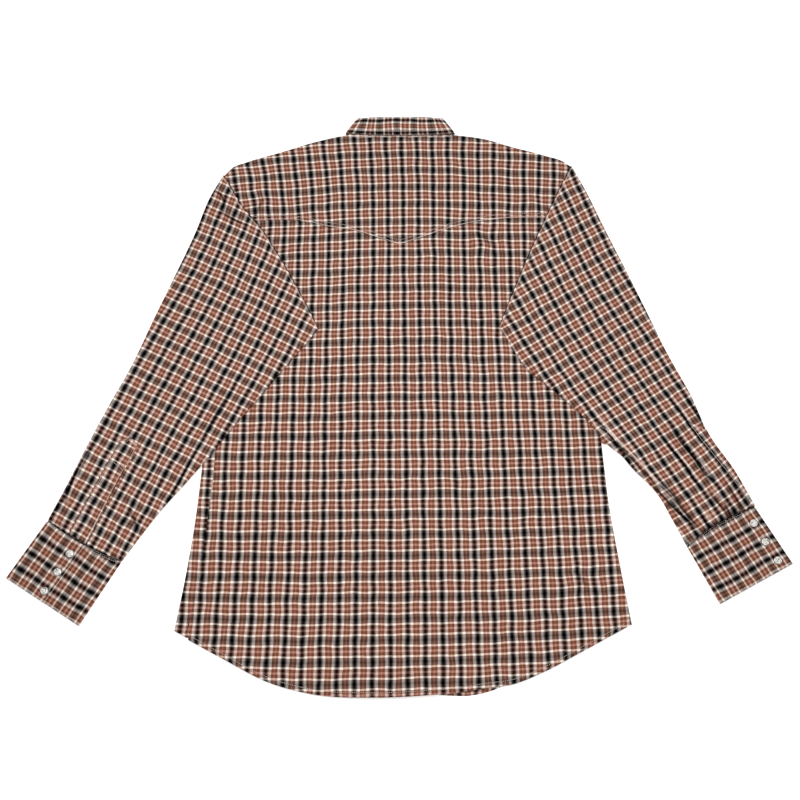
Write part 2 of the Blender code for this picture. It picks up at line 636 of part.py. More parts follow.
def collar_rows(side):
    """Half of the collar: its fold, outer edge and neck seam, and the way its outer face looks."""
    rows = np.array(COLLAR, float)
    turn = np.radians(rows[:, 6])
    sine, cosine = np.sin(turn)[:, None], np.cos(turn)[:, None]
    fold, edge, seam = rows[:, 0:2], rows[:, 2:4], rows[:, 4:6]
    side_row = np.argmin(np.abs(rows[:, 6] - 90))
    down = edge[side_row] - fold[side_row]
    sideways = np.array([-down[1], down[0]]) / np.linalg.norm(down)
    fold_radius = (FOLD_TOP - FOLD_UNDER) / 2

    def place(plan, middle, radius):
        return np.hstack([plan + radius * sine * sideways, middle + radius * cosine])

    fold = place(fold, FOLD_UNDER + fold_radius, fold_radius)
    edge = place(edge, LEAF_TURN, LEAF_TURN)
    seam = place(seam, SEAM_MIDDLE, SEAM_TURN)
    face = np.hstack([sine * sideways, cosine])
    mirror = np.array([side, 1, 1])
    return fold * mirror, edge * mirror, seam * mirror, face * mirror, turn, rows[:, 7:]


def roll_axes(fold, seam, face):
    """Unit vectors from the fold down the stand, and square to it towards the outer face."""
    down = seam - fold
    down /= np.linalg.norm(down, axis=1, keepdims=True)
    face = face - (face * down).sum(axis=1, keepdims=True) * down
    return down, face / np.linalg.norm(face, axis=1, keepdims=True)


def both_halves(make_half):
    """Join the left half, run from its front end to the back, with the right half."""
    left, right = make_half(-1), make_half(1)
    return np.concatenate([left[:0:-1], right], axis=0)


def leaf_half(side):
    fold, edge, seam, face, turn, inner = collar_rows(side)
    down, out = roll_axes(fold, seam, face)
    lip, start = inner[:, 1:2], inner[:, 2:3]
    open_roll = (start + 90) / OPEN_ROLL
    columns = []
    for k in range(ROLL_POINTS):
        share = (1 - open_roll) * max(k - 1, 0) / (ROLL_POINTS - 2) + open_roll * k / (ROLL_POINTS - 1)
        angle = np.radians(start + (90 - start) * share)
        columns.append(fold + ROLL * (1 - np.cos(angle)) * down + ROLL * np.sin(angle) * out)
    columns[0] = columns[0] + lip * down
    above = columns[-1]
    bow = LEAF_BOW * (1 + np.cos(turn))[:, None] / 2
    for share in (1 / 3, 2 / 3):
        columns.append(above + (edge - above) * share + bow * out)
    columns.append(edge)
    return np.stack(columns, axis=1)


def stand_half(side):
    """Half of the stand; its end passes the middle, the right one above the left one."""
    fold, _, seam, face, _, inner = collar_rows(side)
    down, out = roll_axes(fold, seam, face)
    top = fold + inner[:, 0:1] * down + CLOTH / 2 * out
    end = np.array([[-side * STAND_PASS, level, PLACKET_RISE] for level in STAND_END])
    top, seam = np.vstack([top, end[:1]]), np.vstack([seam, end[1:]])
    if side > 0:
        over = np.zeros(len(top))
        over[-STAND_OVER_ROWS:] = LAP
        top[:, 2] += over
        seam[:, 2] += over
    return np.stack([top, (top + seam) / 2, seam], axis=1)


def snap(name, place, height, facing, finish):
    """One snap cap: a rolled rim round a low dome, its back on the plane at place."""
    turn = 2 * np.pi * np.arange(SNAP_SIDES) / SNAP_SIDES
    rings = [np.stack([r * SNAP_RADIUS * np.cos(turn), r * SNAP_RADIUS * np.sin(turn),
                       np.full(SNAP_SIDES, facing * z * height)], 1) for r, z in SNAP_PROFILE]
    centres = [[0, 0, 0], [0, 0, facing * height]]
    vertices = np.vstack(rings + [centres]) + np.asarray(place, float)
    faces = []
    back, front = len(vertices) - 2, len(vertices) - 1
    last = (len(SNAP_PROFILE) - 1) * SNAP_SIDES
    for j in range(SNAP_SIDES):
        k = (j + 1) % SNAP_SIDES
        faces.append([back, k, j])
        faces.append([front, last + j, last + k])
        for ring in range(len(SNAP_PROFILE) - 1):
            low = ring * SNAP_SIDES
            high = low + SNAP_SIDES
            faces.append([low + j, low + k, high + k, high + j])
    if facing < 0:
        faces = [face[::-1] for face in faces]
    return add_object(name, vertices, faces, finish)


def add_snaps(finish):
    """The snaps of the front, the collar and the two cuffs."""
    for k in range(FRONT_SNAPS):
        place = (0.0, FIRST_SNAP + SNAP_STEP * k, FRONT_SNAP_HEIGHT)
        snap(f"snap_front_{k + 1}", place, FRONT_SNAP_HEIGHT, -1, finish)
    snap("snap_collar", (0.0, COLLAR_SNAP, FRONT_SNAP_HEIGHT), FRONT_SNAP_HEIGHT, -1, finish)
    for side, places in (("left", LEFT_CUFF_SNAPS), ("right", RIGHT_CUFF_SNAPS)):
        for k, (x, y) in enumerate(places):
            snap(f"snap_cuff_{side}_{k + 1}", (x, y, CUFF_TOP + GAP), CUFF_SNAP_HEIGHT, 1, finish)


def remove_old_objects():
    for old in list(bpy.data.objects):
        bpy.data.objects.remove(old)


def build_shirt():
    remove_old_objects()
    plaid = material("plaid_cotton", (0.30, 0.19, 0.15), 0.85)
    pearl = material("pearl_snap", (0.86, 0.84, 0.80), 0.25)
    back_panel(plaid)
    back_yoke(plaid)
    front_panel("front_left", plaid, -1)
    front_panel("front_right", plaid, 1)
    front_placket(plaid)
    sleeve("sleeve_left", LEFT_SLEEVE, LEFT_TOWER, -1, plaid)
    sleeve("sleeve_right", RIGHT_SLEEVE, RIGHT_TOWER, 1, plaid)
    tower_placket("sleeve_placket_left", LEFT_SLEEVE, LEFT_TOWER, -1, plaid)
    tower_placket("sleeve_placket_right", RIGHT_SLEEVE, RIGHT_TOWER, 1, plaid)
    cuff("cuff_left", LEFT_SLEEVE, -1, LEFT_CUFF_END, LEFT_OVERLAP, plaid)
    cuff("cuff_right", RIGHT_SLEEVE, 1, RIGHT_CUFF_END, RIGHT_OVERLAP, plaid)
    add_cloth("collar_leaf", both_halves(leaf_half), plaid)
    add_cloth("collar_stand", both_halves(stand_half), plaid)
    add_snaps(pearl)


build_shirt()
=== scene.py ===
# Western snap shirt of plaid cotton, laid flat with its back up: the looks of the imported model.
# +X points to the wearer's right, +Y from the hem to the collar and +Z up. Lengths are in millimetres
# until a mesh is made. Every piece of cloth is its outer face on a grid, with a thin wall grown inwards,
# and its own map says where each point lies in the uncut plaid.
import bpy
import numpy as np
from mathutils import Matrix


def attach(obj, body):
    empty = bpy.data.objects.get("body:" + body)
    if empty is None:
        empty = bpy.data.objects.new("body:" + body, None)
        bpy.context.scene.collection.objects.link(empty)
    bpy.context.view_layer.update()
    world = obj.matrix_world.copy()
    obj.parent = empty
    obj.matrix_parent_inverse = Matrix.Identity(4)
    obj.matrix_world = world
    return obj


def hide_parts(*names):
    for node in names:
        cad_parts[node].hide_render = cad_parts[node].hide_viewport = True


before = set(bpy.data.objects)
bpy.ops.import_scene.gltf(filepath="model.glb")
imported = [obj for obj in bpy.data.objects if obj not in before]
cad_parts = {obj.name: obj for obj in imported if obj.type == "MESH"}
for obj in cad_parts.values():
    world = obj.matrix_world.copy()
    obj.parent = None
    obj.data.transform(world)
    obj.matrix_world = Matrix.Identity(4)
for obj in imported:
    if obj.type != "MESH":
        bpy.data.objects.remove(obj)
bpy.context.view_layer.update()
mm = 0.001


# Curves, folds and grids

def spline(rows, at):
    # Cubic through rows of (place, values), with the slopes of the curve at both ends of each stretch.
    rows = np.asarray(rows, float)
    if rows[0, 0] > rows[-1, 0]:
        rows = rows[::-1]
    knots, values = rows[:, 0], rows[:, 1:]
    slopes = np.gradient(values, knots, axis=0)
    at = np.clip(np.asarray(at, float), knots[0], knots[-1])
    k = np.clip(np.searchsorted(knots, at) - 1, 0, len(knots) - 2)
    step = (knots[k + 1] - knots[k])[..., None]
    s = (at - knots[k])[..., None] / step
    start = (1 + 2 * s) * (1 - s) ** 2 * values[k] + s * (1 - s) ** 2 * step * slopes[k]
    end = s ** 2 * (3 - 2 * s) * values[k + 1] + s ** 2 * (s - 1) * step * slopes[k + 1]
    result = start + end
    return result[..., 0] if values.shape[1] == 1 else result


def ease(x, start, end):
    # Smooth step 3s^2 - 2s^3 from 0 at start to 1 at end.
    s = np.clip((x - start) / (end - start), 0, 1)
    return s * s * (3 - 2 * s)


def bell(x, middle, width):
    # exp(-((x - middle)/width)^2).
    return np.exp(-((x - middle) / width) ** 2)


def parabola(values, s):
    # Through the last axis's three values at s = -1, 0 and 1.
    first, middle, last = np.moveaxis(values, -1, 0)
    return middle + (last - first) / 2 * s + ((last + first) / 2 - middle) * s * s


def stacked(*parts):
    # The parts as the coordinates of points, each spread to the shape of the largest.
    return np.stack(np.broadcast_arrays(*parts), axis=-1)


def beside(*parts):
    # The parts' columns one after the other.
    return np.concatenate(parts, axis=1)


def unit(vectors):
    # Each vector over its length.
    return vectors / np.linalg.norm(vectors, axis=-1, keepdims=True)


def lengthAlong(points):
    # Distance from the first point to each, summed along straight lines.
    return np.concatenate([[0], np.cumsum(np.linalg.norm(np.diff(points, axis=0), axis=1))])


def stretches(places, counts):
    # Even steps from each place to the next, this many in each stretch; the last one has its end too.
    return np.concatenate([np.linspace(places[k], places[k + 1], count, endpoint=k == len(counts) - 1)
                           for k, count in enumerate(counts)])


def sideName(side):
    # What a side's own values are called.
    return "left" if side < 0 else "right"


def crease(width, height, *points, lean=0.0, take=0.0, slide=0.0, paintedShade=None, line=1.7):
    # Half width, height and the points of its line. Lean makes one side steeper, take is the cloth it has
    # swallowed, slide a pull along it; the last two are the shade painted along its line, a painted
    # highlight where below 0, and that shade's half width. A deep one gets painted shade by itself.
    if paintedShade is None:
        paintedShade = 0.72 if height < -1.1 else 0.0
    return {"width": width, "height": height, "points": points, "lean": lean, "take": take,
            "slide": slide, "paintedShade": paintedShade, "line": line}


def foldHeight(folds, x, y):
    # Sum of bells exp(-(distance/width)^2) across straight lines, each faded by a sine at its ends.
    total = np.zeros(np.shape(x))
    for x0, y0, x1, y1, width, height in folds:
        length = np.hypot(x1 - x0, y1 - y0)
        along = ((x - x0) * (x1 - x0) + (y - y0) * (y1 - y0)) / length ** 2
        across = ((x - x0) * (y1 - y0) - (y - y0) * (x1 - x0)) / length
        fade = np.sin(np.pi * np.clip(along, 0, 1)) ** 0.6
        total += height * fade * bell(across, 0, width)
    return total


def nearestOn(path, x, y):
    # Signed distance to the nearest point of a line, the share of its steps there, and its direction.
    best = np.full(np.shape(x), 1e9)
    signed, along = np.zeros(np.shape(x)), np.zeros(np.shape(x))
    tangent = np.zeros(np.shape(x) + (2,))
    for k in range(len(path) - 1):
        step = path[k + 1] - path[k]
        size = np.hypot(*step)
        t = np.clip(((x - path[k, 0]) * step[0] + (y - path[k, 1]) * step[1]) / size ** 2, 0, 1)
        dx, dy = x - path[k, 0] - t * step[0], y - path[k, 1] - t * step[1]
        away = np.hypot(dx, dy)
        near = away < best
        best = np.where(near, away, best)
        signed = np.where(near, away * np.sign(dy * step[0] - dx * step[1]), signed)
        along = np.where(near, (k + t) / (len(path) - 1), along)
        tangent[near] = step / size
    return signed, along, tangent


def creaseField(creases, x, y):
    # Sum over the creases, from the signed distance d to a smooth curve through each one's points, faded
    # at its ends by a sine. Height is a bell of d, steeper on the side where lean is positive. The cloth
    # taken up moves the plaid by take * d/width * exp(-(d/3width)^2) square to the curve, and a pull
    # slides it along the curve by slide * exp(-(d/3width)^2). The shade painted along a crease is its
    # strength times exp(-(d/line)^2), a painted highlight where that is below 0; the stronger of two
    # counts.
    height, shade = np.zeros(np.shape(x)), np.zeros(np.shape(x))
    shift = np.zeros(np.shape(x) + (2,))
    for fold in creases:
        knots = np.array(fold["points"], float)
        place = np.linspace(0, 1, len(knots))
        path = spline(np.column_stack([place, knots]), np.linspace(0, 1, 4 * len(knots)))
        signed, along, tangent = nearestOn(path, x, y)
        width, lean = fold["width"], fold["lean"]
        fade = np.sin(np.pi * np.clip(along, 0, 1)) ** 0.7
        leaning = signed / (width * np.where(signed > 0, 1 - lean, 1 + lean))
        height += fold["height"] * fade * bell(leaning, 0, 1)
        far = fade * bell(signed, 0, 3 * width)
        normal = np.stack([-tangent[..., 1], tangent[..., 0]], axis=-1)
        shift += (fold["take"] * far * signed / width)[..., None] * normal
        shift += (fold["slide"] * far)[..., None] * tangent
        own = fold["paintedShade"] * fade * bell(signed, 0, fold["line"])
        shade = np.where(np.abs(own) > np.abs(shade), own, shade)
    return height, shift, shade


def withShade(mapping, shade):
    # The map and, as its third value, the shade painted there by folds and seams, or a painted highlight if
    # below 0; nothing beyond the shade's own grid.
    full = np.zeros(mapping.shape[:2])
    full[:shade.shape[0], :shade.shape[1]] = shade
    return np.concatenate([mapping, full[..., None]], axis=-1)


def halfTurn(steps):
    # Sines and cosines of the angles inside a half turn, its ends left out.
    angles = np.pi * np.arange(1, steps) / steps
    return np.sin(angles), np.cos(angles)


def gridFaces(rows, columns, keep, ring, flip, seam):
    # Corner numbers of the kept cells in the points and in the map. The map has a column more where the
    # last column joins the first, and one more at a seam, where the plaid jumps.
    across = columns if ring else columns - 1
    if keep is None:
        keep = np.ones((rows - 1, across), bool)
    i, j = np.nonzero(keep)
    corners = [(i, j), (i, j + 1), (i + 1, j + 1), (i + 1, j)]
    if flip:
        corners = corners[::-1]
    points = np.stack([a * columns + b % columns for a, b in corners], axis=1)
    beyond = 0 if seam is None else (j >= seam).astype(int)
    mapWidth = columns + ring + (seam is not None)
    mapped = np.stack([a * mapWidth + b + beyond for a, b in corners], axis=1)
    return points, mapped


def addMesh(name, points, faces, finish, mapping=None, mapped=None):
    # A mesh from whole arrays, in millimetres; the map's third value, the shade painted on folds and
    # seams or a painted highlight below 0, goes to the fold layer.
    corners = faces.shape[1]
    used, faces = np.unique(faces, return_inverse=True)
    faces = faces.reshape(-1, corners)
    mesh = bpy.data.meshes.new(name)
    mesh.vertices.add(len(used))
    mesh.vertices.foreach_set("co", (points.reshape(-1, 3)[used] * mm).ravel())
    mesh.loops.add(faces.size)
    mesh.loops.foreach_set("vertex_index", faces.ravel())
    mesh.polygons.add(len(faces))
    mesh.polygons.foreach_set("loop_start", np.arange(len(faces)) * corners)
    mesh.update(calc_edges=True)
    if mapping is not None:
        corner = mapping.reshape(-1, 3)[mapped.ravel()]
        layer = mesh.uv_layers.new(name="cloth")
        layer.data.foreach_set("uv", (corner[:, :2] * mm).ravel())
        layer = mesh.uv_layers.new(name="fold")
        layer.data.foreach_set("uv", (corner[:, [2, 2]]).ravel())
    mesh.materials.append(finish)
    mesh.shade_smooth()
    piece = bpy.data.objects.new(name, mesh)
    bpy.context.scene.collection.objects.link(piece)
    return piece


def addCloth(name, points, mapping, wall, keep=None, ring=False, flip=False, seam=None):
    # A piece of cloth: the grid of its outer face and a wall grown inwards.
    faces, mapped = gridFaces(points.shape[0], points.shape[1], keep, ring, flip, seam)
    if mapping.shape[-1] == 2:
        mapping = withShade(mapping, np.zeros((1, 1)))
    piece = addMesh(name, points, faces, cotton, mapping, mapped)
    solidify = piece.modifiers.new("Wall", "SOLIDIFY")
    solidify.thickness = wall * mm
    solidify.offset = -1.0
    solidify.use_even_offset = True
    solidify.use_quality_normals = True
    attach(piece, "root")
    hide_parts(name.replace("shirt_", ""))
    return piece


stitch = {
    "pitch": 2.7, "reach": 0.42,        # from one to the next, and half a stitch as a share of that
    "tip": -0.12, "waist": ((-0.36, 0.02), (0, 0.3), (0.36, 0.02), (0, -0.15)),     # across and up
}


def sew(name, paths):
    # Stitches along paths of (points, outward): each is a lozenge with a raised square waist at both
    # thirds and its ends sunk in the cloth; all of a seam's stitches are one mesh.
    shape = np.array([(-1, 0, stitch["tip"])] + [(end, *corner) for end in (-0.5, 0.5)
                     for corner in stitch["waist"]] + [(1, 0, stitch["tip"])])
    tips = [(0, 1 + k, 1 + (k + 1) % 4) for k in range(4)] + [(9, 5 + (k + 1) % 4, 5 + k) for k in range(4)]
    waist = [(1 + k, 5 + k, 5 + (k + 1) % 4) for k in range(4)] + [
        (1 + k, 5 + (k + 1) % 4, 1 + (k + 1) % 4) for k in range(4)]
    blocks = []
    for points, outward in paths:
        outward = np.broadcast_to(np.array(outward, float), points.shape)
        run = lengthAlong(points)
        at = np.arange(stitch["pitch"] / 2, run[-1], stitch["pitch"])

        def read(values, place):
            # The values at these lengths along the path.
            return np.stack([np.interp(place, run, values[:, k]) for k in range(3)], axis=1)

        ahead = unit(read(points, at + 0.4) - read(points, at - 0.4))
        across = unit(np.cross(read(outward, at), ahead))
        up = np.cross(ahead, across)
        reach = shape[:, 0, None] * stitch["pitch"] * stitch["reach"]
        blocks.append(read(points, at)[:, None] + reach * ahead[:, None]
                      + shape[:, 1, None] * across[:, None] + shape[:, 2, None] * up[:, None])
    points = np.concatenate(blocks)
    faces = (np.array(tips + waist)[None] + 10 * np.arange(len(points))[:, None, None]).reshape(-1, 3)
    piece = addMesh(name, points, faces, thread)
    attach(piece, "root")
    print(f"{name}: {len(points)} stitches")
    return piece


# Finishes

class Wire:
    # A socket whose arithmetic adds Math nodes; node() adds any other node.
    def __init__(self, tree, socket=None):
        self.tree, self.socket = tree, socket

    def node(self, kind, settings=None, sockets=None, output=0):
        # Settings are the node's own values; a socket takes a wire or a constant.
        made = self.tree.nodes.new(kind)
        for key, value in (settings or {}).items():
            if key == "stops":
                self.setStops(made.color_ramp, value)
            else:
                setattr(made, key, value)
        for key, value in (sockets or {}).items():
            if isinstance(value, Wire):
                self.tree.links.new(value.socket, made.inputs[key])
            else:
                made.inputs[key].default_value = value
        return Wire(self.tree, made.outputs[output])

    def setStops(self, ramp, stops):
        # Rows of (place, colour).
        while len(ramp.elements) < len(stops):
            ramp.elements.new(1.0)
        for element, (place, colour) in zip(ramp.elements, stops):
            element.position = place
            element.color = (*colour, 1.0)

    def math(self, operation, *values):
        # A Math node of wires and numbers.
        return self.node("ShaderNodeMath", {"operation": operation}, dict(enumerate(values)))

    def __add__(self, other):
        return self.math("ADD", self, other)

    def __mul__(self, other):
        return self.math("MULTIPLY", self, other)

    def __sub__(self, other):
        return self.math("SUBTRACT", self, other)

    def __rsub__(self, other):
        return self.math("SUBTRACT", other, self)

    __radd__ = __add__
    __rmul__ = __mul__

    def parts(self):
        # Wires of a vector's or a colour's first two values.
        split = self.node("ShaderNodeSeparateXYZ", sockets={0: self}).socket.node
        return Wire(self.tree, split.outputs[0]), Wire(self.tree, split.outputs[1])

    def noise(self, scale, settings=None, output=0, **more):
        # A noise at this place.
        return self.node("ShaderNodeTexNoise", settings, {"Vector": self, "Scale": scale, **more}, output)

    def stretched(self, scale):
        # This place with each axis times its own number.
        return self.node("ShaderNodeMapping", sockets={"Vector": self, "Scale": scale})

    def ramp(self, *stops):
        # The colour at this value between the stops.
        return self.node("ShaderNodeValToRGB", {"stops": stops}, {"Fac": self})

    def scaled(self, share):
        # Each part times the same share.
        return self.node("ShaderNodeVectorMath", {"operation": "SCALE"}, {0: self, "Scale": share})


def newFinish(name, constants):
    # A material whose Principled shader has these fixed sockets, the place on the object, the shader.
    made = bpy.data.materials.new(name)
    made.use_nodes = True
    shader = made.node_tree.nodes["Principled BSDF"]
    for key, value in constants.items():
        shader.inputs[key].default_value = value
    place = Wire(made.node_tree).node("ShaderNodeTexCoord", output="Object")
    return made, place, shader


def feed(shader, key, wire):
    # Links a wire to one of the shader's sockets.
    wire.tree.links.new(wire.socket, shader.inputs[key])


plaid = {
    "columns": 21.5, "rows": 26.9,      # repeats
    "yarn": 0.42,                       # from one yarn to the next
    "yarnContrast": 0.10,
    # The lit colour is what painted highlights on folds and seams mix towards.
    "mottle": 0.22, "lit": (0.95, 0.87, 0.83, 1.0),
    "wobble": 0.0008, "drift": 0.0026,  # how far noise moves the stripes
    "yarnHeight": 0.00004, "crumple": 0.0012,
    # Lengthwise and crosswise yarns: distance from the middle of the black stripe in half repeats, and
    # what they add to the colour as the eye sees it, before it is made linear.
    "warp": ((0.0, (0.002, 0.002, 0.002)), (0.075, (0.006, 0.006, 0.007)), (0.22, (0.205, 0.19, 0.185)),
             (0.39, (0.525, 0.50, 0.48)), (0.60, (0.545, 0.51, 0.485)), (0.66, (0.308, 0.204, 0.162)),
             (0.88, (0.298, 0.199, 0.157)), (0.94, (0.395, 0.273, 0.236)), (1.0, (0.405, 0.279, 0.241))),
    "weft": ((0.0, (0.0, 0.0, 0.0)), (0.07, (0.004, 0.004, 0.004)), (0.16, (0.08, 0.067, 0.067)),
             (0.38, (0.112, 0.09, 0.09)), (0.43, (0.46, 0.43, 0.405)), (0.57, (0.46, 0.43, 0.405)),
             (0.62, (0.13, 0.06, 0.039)), (0.87, (0.135, 0.065, 0.046)),
             (0.92, (0.312, 0.23, 0.211)), (1.0, (0.317, 0.235, 0.216))),
}


def plaidCotton():
    # Each yarn system is a ramp over the distance from its black stripe; the cloth is their sum, each a
    # little stronger where its yarn passes over the other. The weave is a product of two sines. The
    # shade painted along folds and seams darkens the sum, and where it is below 0 a painted highlight
    # mixes it with the lit colour.
    finish, position, shader = newFinish("plaidCotton", {
        "Roughness": 0.9, "Specular IOR Level": 0.0, "Sheen Weight": 0.001, "Sheen Roughness": 0.5})
    place = position.node("ShaderNodeUVMap", {"uv_map": "cloth"})
    onMap = {"noise_dimensions": "2D"}
    column, row = place.parts()
    wobble = (place.noise(130.0, onMap, Detail=2.0) - 0.5) * plaid["wobble"]
    sideways, lengthways = place.noise(34.0, onMap, 1, Detail=1.0).parts()

    def stripe(at, period, stops):
        # Distance from the middle of the black stripe in half repeats, through the ramp.
        share = at.math("FRACT", at * (1000 / period))
        return (share.math("ABSOLUTE", share - 0.5) * 2).ramp(*stops)

    warp = stripe(column + wobble + (sideways - 0.5) * plaid["drift"], plaid["columns"], plaid["warp"])
    weft = stripe(row - wobble + (lengthways - 0.5) * plaid["drift"], plaid["rows"], plaid["weft"])
    turns = np.pi * 1000 / plaid["yarn"]
    over = column.math("SINE", column * turns) * row.math("SINE", row * turns)
    slub = place.stretched((900, 90, 1)).noise(1.0, onMap, Detail=2.0)
    crossSlub = place.stretched((90, 900, 1)).noise(1.0, onMap, Detail=2.0)
    warpShare = 1 + over * plaid["yarnContrast"] + (slub - 0.5) * plaid["mottle"]
    weftShare = 1 - over * plaid["yarnContrast"] + (crossSlub - 0.5) * plaid["mottle"]
    seen = warp.node("ShaderNodeVectorMath", {"operation": "ADD"},
                     {0: warp.scaled(warpShare), 1: weft.scaled(weftShare)})
    # The fold layer: painted shade darkens the colour, painted highlight mixes it towards the lit colour.
    fold, _ = place.node("ShaderNodeUVMap", {"uv_map": "fold"}).parts()
    seen = seen.scaled(1 - fold.math("MAXIMUM", fold, 0.0))
    lit = fold.math("MAXIMUM", 0 - fold, 0.0)
    seen = seen.node("ShaderNodeMix", {"data_type": "RGBA"}, {0: lit, 6: seen, 7: plaid["lit"]}, 2)
    feed(shader, "Base Color", seen.node("ShaderNodeGamma", sockets={"Color": seen, "Gamma": 2.2}))
    height = over * plaid["yarnHeight"] + position.noise(55.0, Detail=3.0) * plaid["crumple"]
    feed(shader, "Normal", height.node("ShaderNodeBump", sockets={"Height": height, "Strength": 0.6}))
    return finish


def sewingThread():
    # Twisted polyester-cotton thread: a fine noise lightens and darkens it.
    finish, position, shader = newFinish("sewingThread", {"Roughness": 0.6, "Specular IOR Level": 0.35})
    feed(shader, "Base Color", position.noise(2500.0).ramp(
        (0.3, (0.58, 0.47, 0.40)), (0.7, (0.80, 0.70, 0.63))))
    return finish


def pearlCap():
    # Clouded pearl: a noise warped by itself, between warm grey and cream.
    finish, position, shader = newFinish("pearlCap", {
        "Roughness": 0.22, "Specular IOR Level": 0.5, "Coat Weight": 0.4, "Coat Roughness": 0.06})
    feed(shader, "Base Color", position.noise(190.0, Detail=2.0, Distortion=2.6).ramp(
        (0.36, (0.19, 0.17, 0.15)), (0.45, (0.50, 0.47, 0.43)), (0.55, (0.82, 0.79, 0.75)),
        (0.66, (0.96, 0.94, 0.91))))
    return finish


def snapMetal():
    # Nickel ring with faint turning marks: roughness follows a fine noise.
    finish, position, shader = newFinish("snapMetal", {
        "Metallic": 1.0, "Base Color": (0.16, 0.15, 0.14, 1.0)})
    feed(shader, "Roughness", 0.22 + position.noise(1400.0) * 0.16)
    return finish


def paleFloor():
    # White card: a soft noise varies it a little, and a faint glow keeps it even.
    finish, position, shader = newFinish("paleFloor", {
        "Roughness": 0.9, "Specular IOR Level": 0.1, "Emission Color": (1.0, 1.0, 1.0, 1.0),
        "Emission Strength": 0.42})
    feed(shader, "Base Color", position.noise(40.0).ramp(
        (0.3, (0.93, 0.93, 0.93)), (0.7, (0.95, 0.95, 0.95))))
    return finish


cotton = plaidCotton()
thread = sewingThread()
pearl = pearlCap()
metal = snapMetal()
print("finishes made")


# Body: fronts, back and yoke

body = {
    "wall": 0.6, "lap": 0.8,            # of a piece that lies on another
    "thick": 3.0, "foldSteps": 8,       # fronts and back together at a side fold
    "sideLip": 16.0, "lipFull": 15.0,   # how far the left front wraps onto the back, and from which level
    "edgeLip": 3.0, "sideTuck": 8.0, "underarm": 75.0,
    "placketEdge": 19.0, "placketWidth": 36.0, "placketRise": 1.3, "placketWall": 0.8,
    "leftRise": 2.6, "rightRise": 3.9, "backRise": 3.4, "collarRise": 0.9, "collarLift": 1.3,
    "frontRiseX": (75, 30), "frontCollarX": (165, 123), "frontCollarY": (190, 231),
    "backRiseX": (110, 34), "backRiseY": (366, 322), "backCollarX": (158, 126), "backCollarY": (160, 195),
    "leftSide": ((320, -250), (262, -238), (200, -230), (135, -236), (75, -251), (0, -257),
                 (-125, -261.5), (-190, -266.5), (-250, -273.5), (-330, -285.6)),
    "rightSide": ((335, 243), (262, 234), (200, 228), (135, 235), (75, 253), (0, 261),
                  (-80, 266.4), (-172, 272.9), (-237, 281.2), (-321, 293.1)),
    "backHem": ((-286, -330.3), (-225, -363), (-166, -393), (-108, -408.5), (-33, -412.9),
                (30, -410.3), (58, -408), (84, -404.6), (108, -400.5), (138, -396.6), (179, -381),
                (228, -355.6), (293, -320.8)),
    "frontHem": ((-286, -329), (-225, -359), (-166, -388), (-108, -403.5), (-33, -408),
                 (30, -407.5), (62, -409.6), (84, -409.8), (108, -405.4), (138, -394), (179, -377),
                 (228, -352), (293, -319.5)),
    "shoulders": ((-250, 320), (-240, 332), (-220, 341.5), (-176, 356.2), (-128.6, 372.2), (-75.5, 385.9),
                  (75.5, 385.9), (120.3, 379.1), (160.2, 366.8), (209.7, 351.7), (232, 343.5), (243, 335)),
    "yokeSeam": ((-233, 247), (-136, 247), (-105, 239.4), (-62, 230.7), (-25, 217.6), (0, 210.5),
                 (21, 216.9), (49, 227.7), (84, 240.2), (129, 249.6), (230, 253)),
    "frontNeck": ((0, 309.2), (20, 310), (45, 319.5), (66, 339), (75.5, 355.6)),
    "neckSide": 75.5, "backNeck": 386.0, "neckLine": 383.0,
    "flapX": (-250.0, -75.5, 75.5, 243.0), "flapY": (295.0, 355.9, 355.9, 308.0),
    "flapStart": 2.2, "yokeLap": 8.0, "hemWidth": 7.0, "hemRise": 0.35,
    # Columns of the back and a front, and their rows above and below the underarm; where the yoke's
    # columns change their step, and its closer first rows
    "backColumns": (-233, 230, 196), "backRows": (62, 140), "frontRows": (40, 110),
    "frontColumns": (28, 46), "armColumn": 228,
    "yokeEnds": (-233, -70, 70, 230), "yokeColumns": (68, 58, 68),
    "yokeSeamRows": (0, 0.005, 0.010, 0.015, 0.022), "yokeRows": ((0.032, 0.93, 48), (0.937, 1, 12)),
    # Painted shadow under the yoke's edge, and a painted highlight on it, stronger right of x = -100
    "edgeRaised": 0.35, "edgeShadow": 0.25, "leftLight": 0.1, "rightLight": 0.5,      # along the yoke's seam
    # Where the sleeves begin to cover the back
    "coverY": (-150, -96, -57, -16, 26, 84, 320), "coverX": (262, 240, 212, 180, 146, 104, 240),
    "folds": ((102, 232, 132, 206, 8, 0.9), (-190, 160, -150, -120, 26, 0.8),
              (186, 120, 150, -160, 28, 0.9), (-60, -150, -96, -380, 24, 0.7),
              (150, -170, 196, -330, 20, 0.9), (60, -120, 44, -330, 26, 0.6),
              (-210, -140, -222, -320, 20, 0.8)),
    # Level, then how far the plaid's columns and rows stand off true at the left, middle and right
    "backPlaid": ((200, -2.5, 5.8, 10.6, 14.5, 4.6, 6.3), (80, 0, 5.1, 9, 8.5, 2.8, 2),
                  (-80, 3.8, 3.3, 4.3, 4.6, 2.2, -1.6), (-240, 5, 1.6, -0.6, 4.3, 4.1, -2.9),
                  (-400, 10.7, 1.4, -4.7, 5, 5.6, -4.8)),
    "yokePlaid": ((375, 20, 9.6, 4.5, 26, 9.7, 17), (300, 6.6, 6.8, 8.8, 22, 10.3, 15.5),
                  (220, -5, 6.5, 10, 22, 10.6, 15)),
    # How far the plaid of the strip that wraps onto the back stands off the back's
    "stripPlaid": ((60, 0, -3.5), (-130, 0, -3.8), (-185, 0, -3.6), (-215, 0, -1.0), (-240, 0, 0),
                   (-345, 0, 0)),
    "plaidHalf": 240, "yokeHalf": 220,      # half the width that those three values span
    "frontPlaid": ((400, 2, 2, 2, 3, 3, 3), (-400, 2, 2, 2, 3, 3, 3)),
}
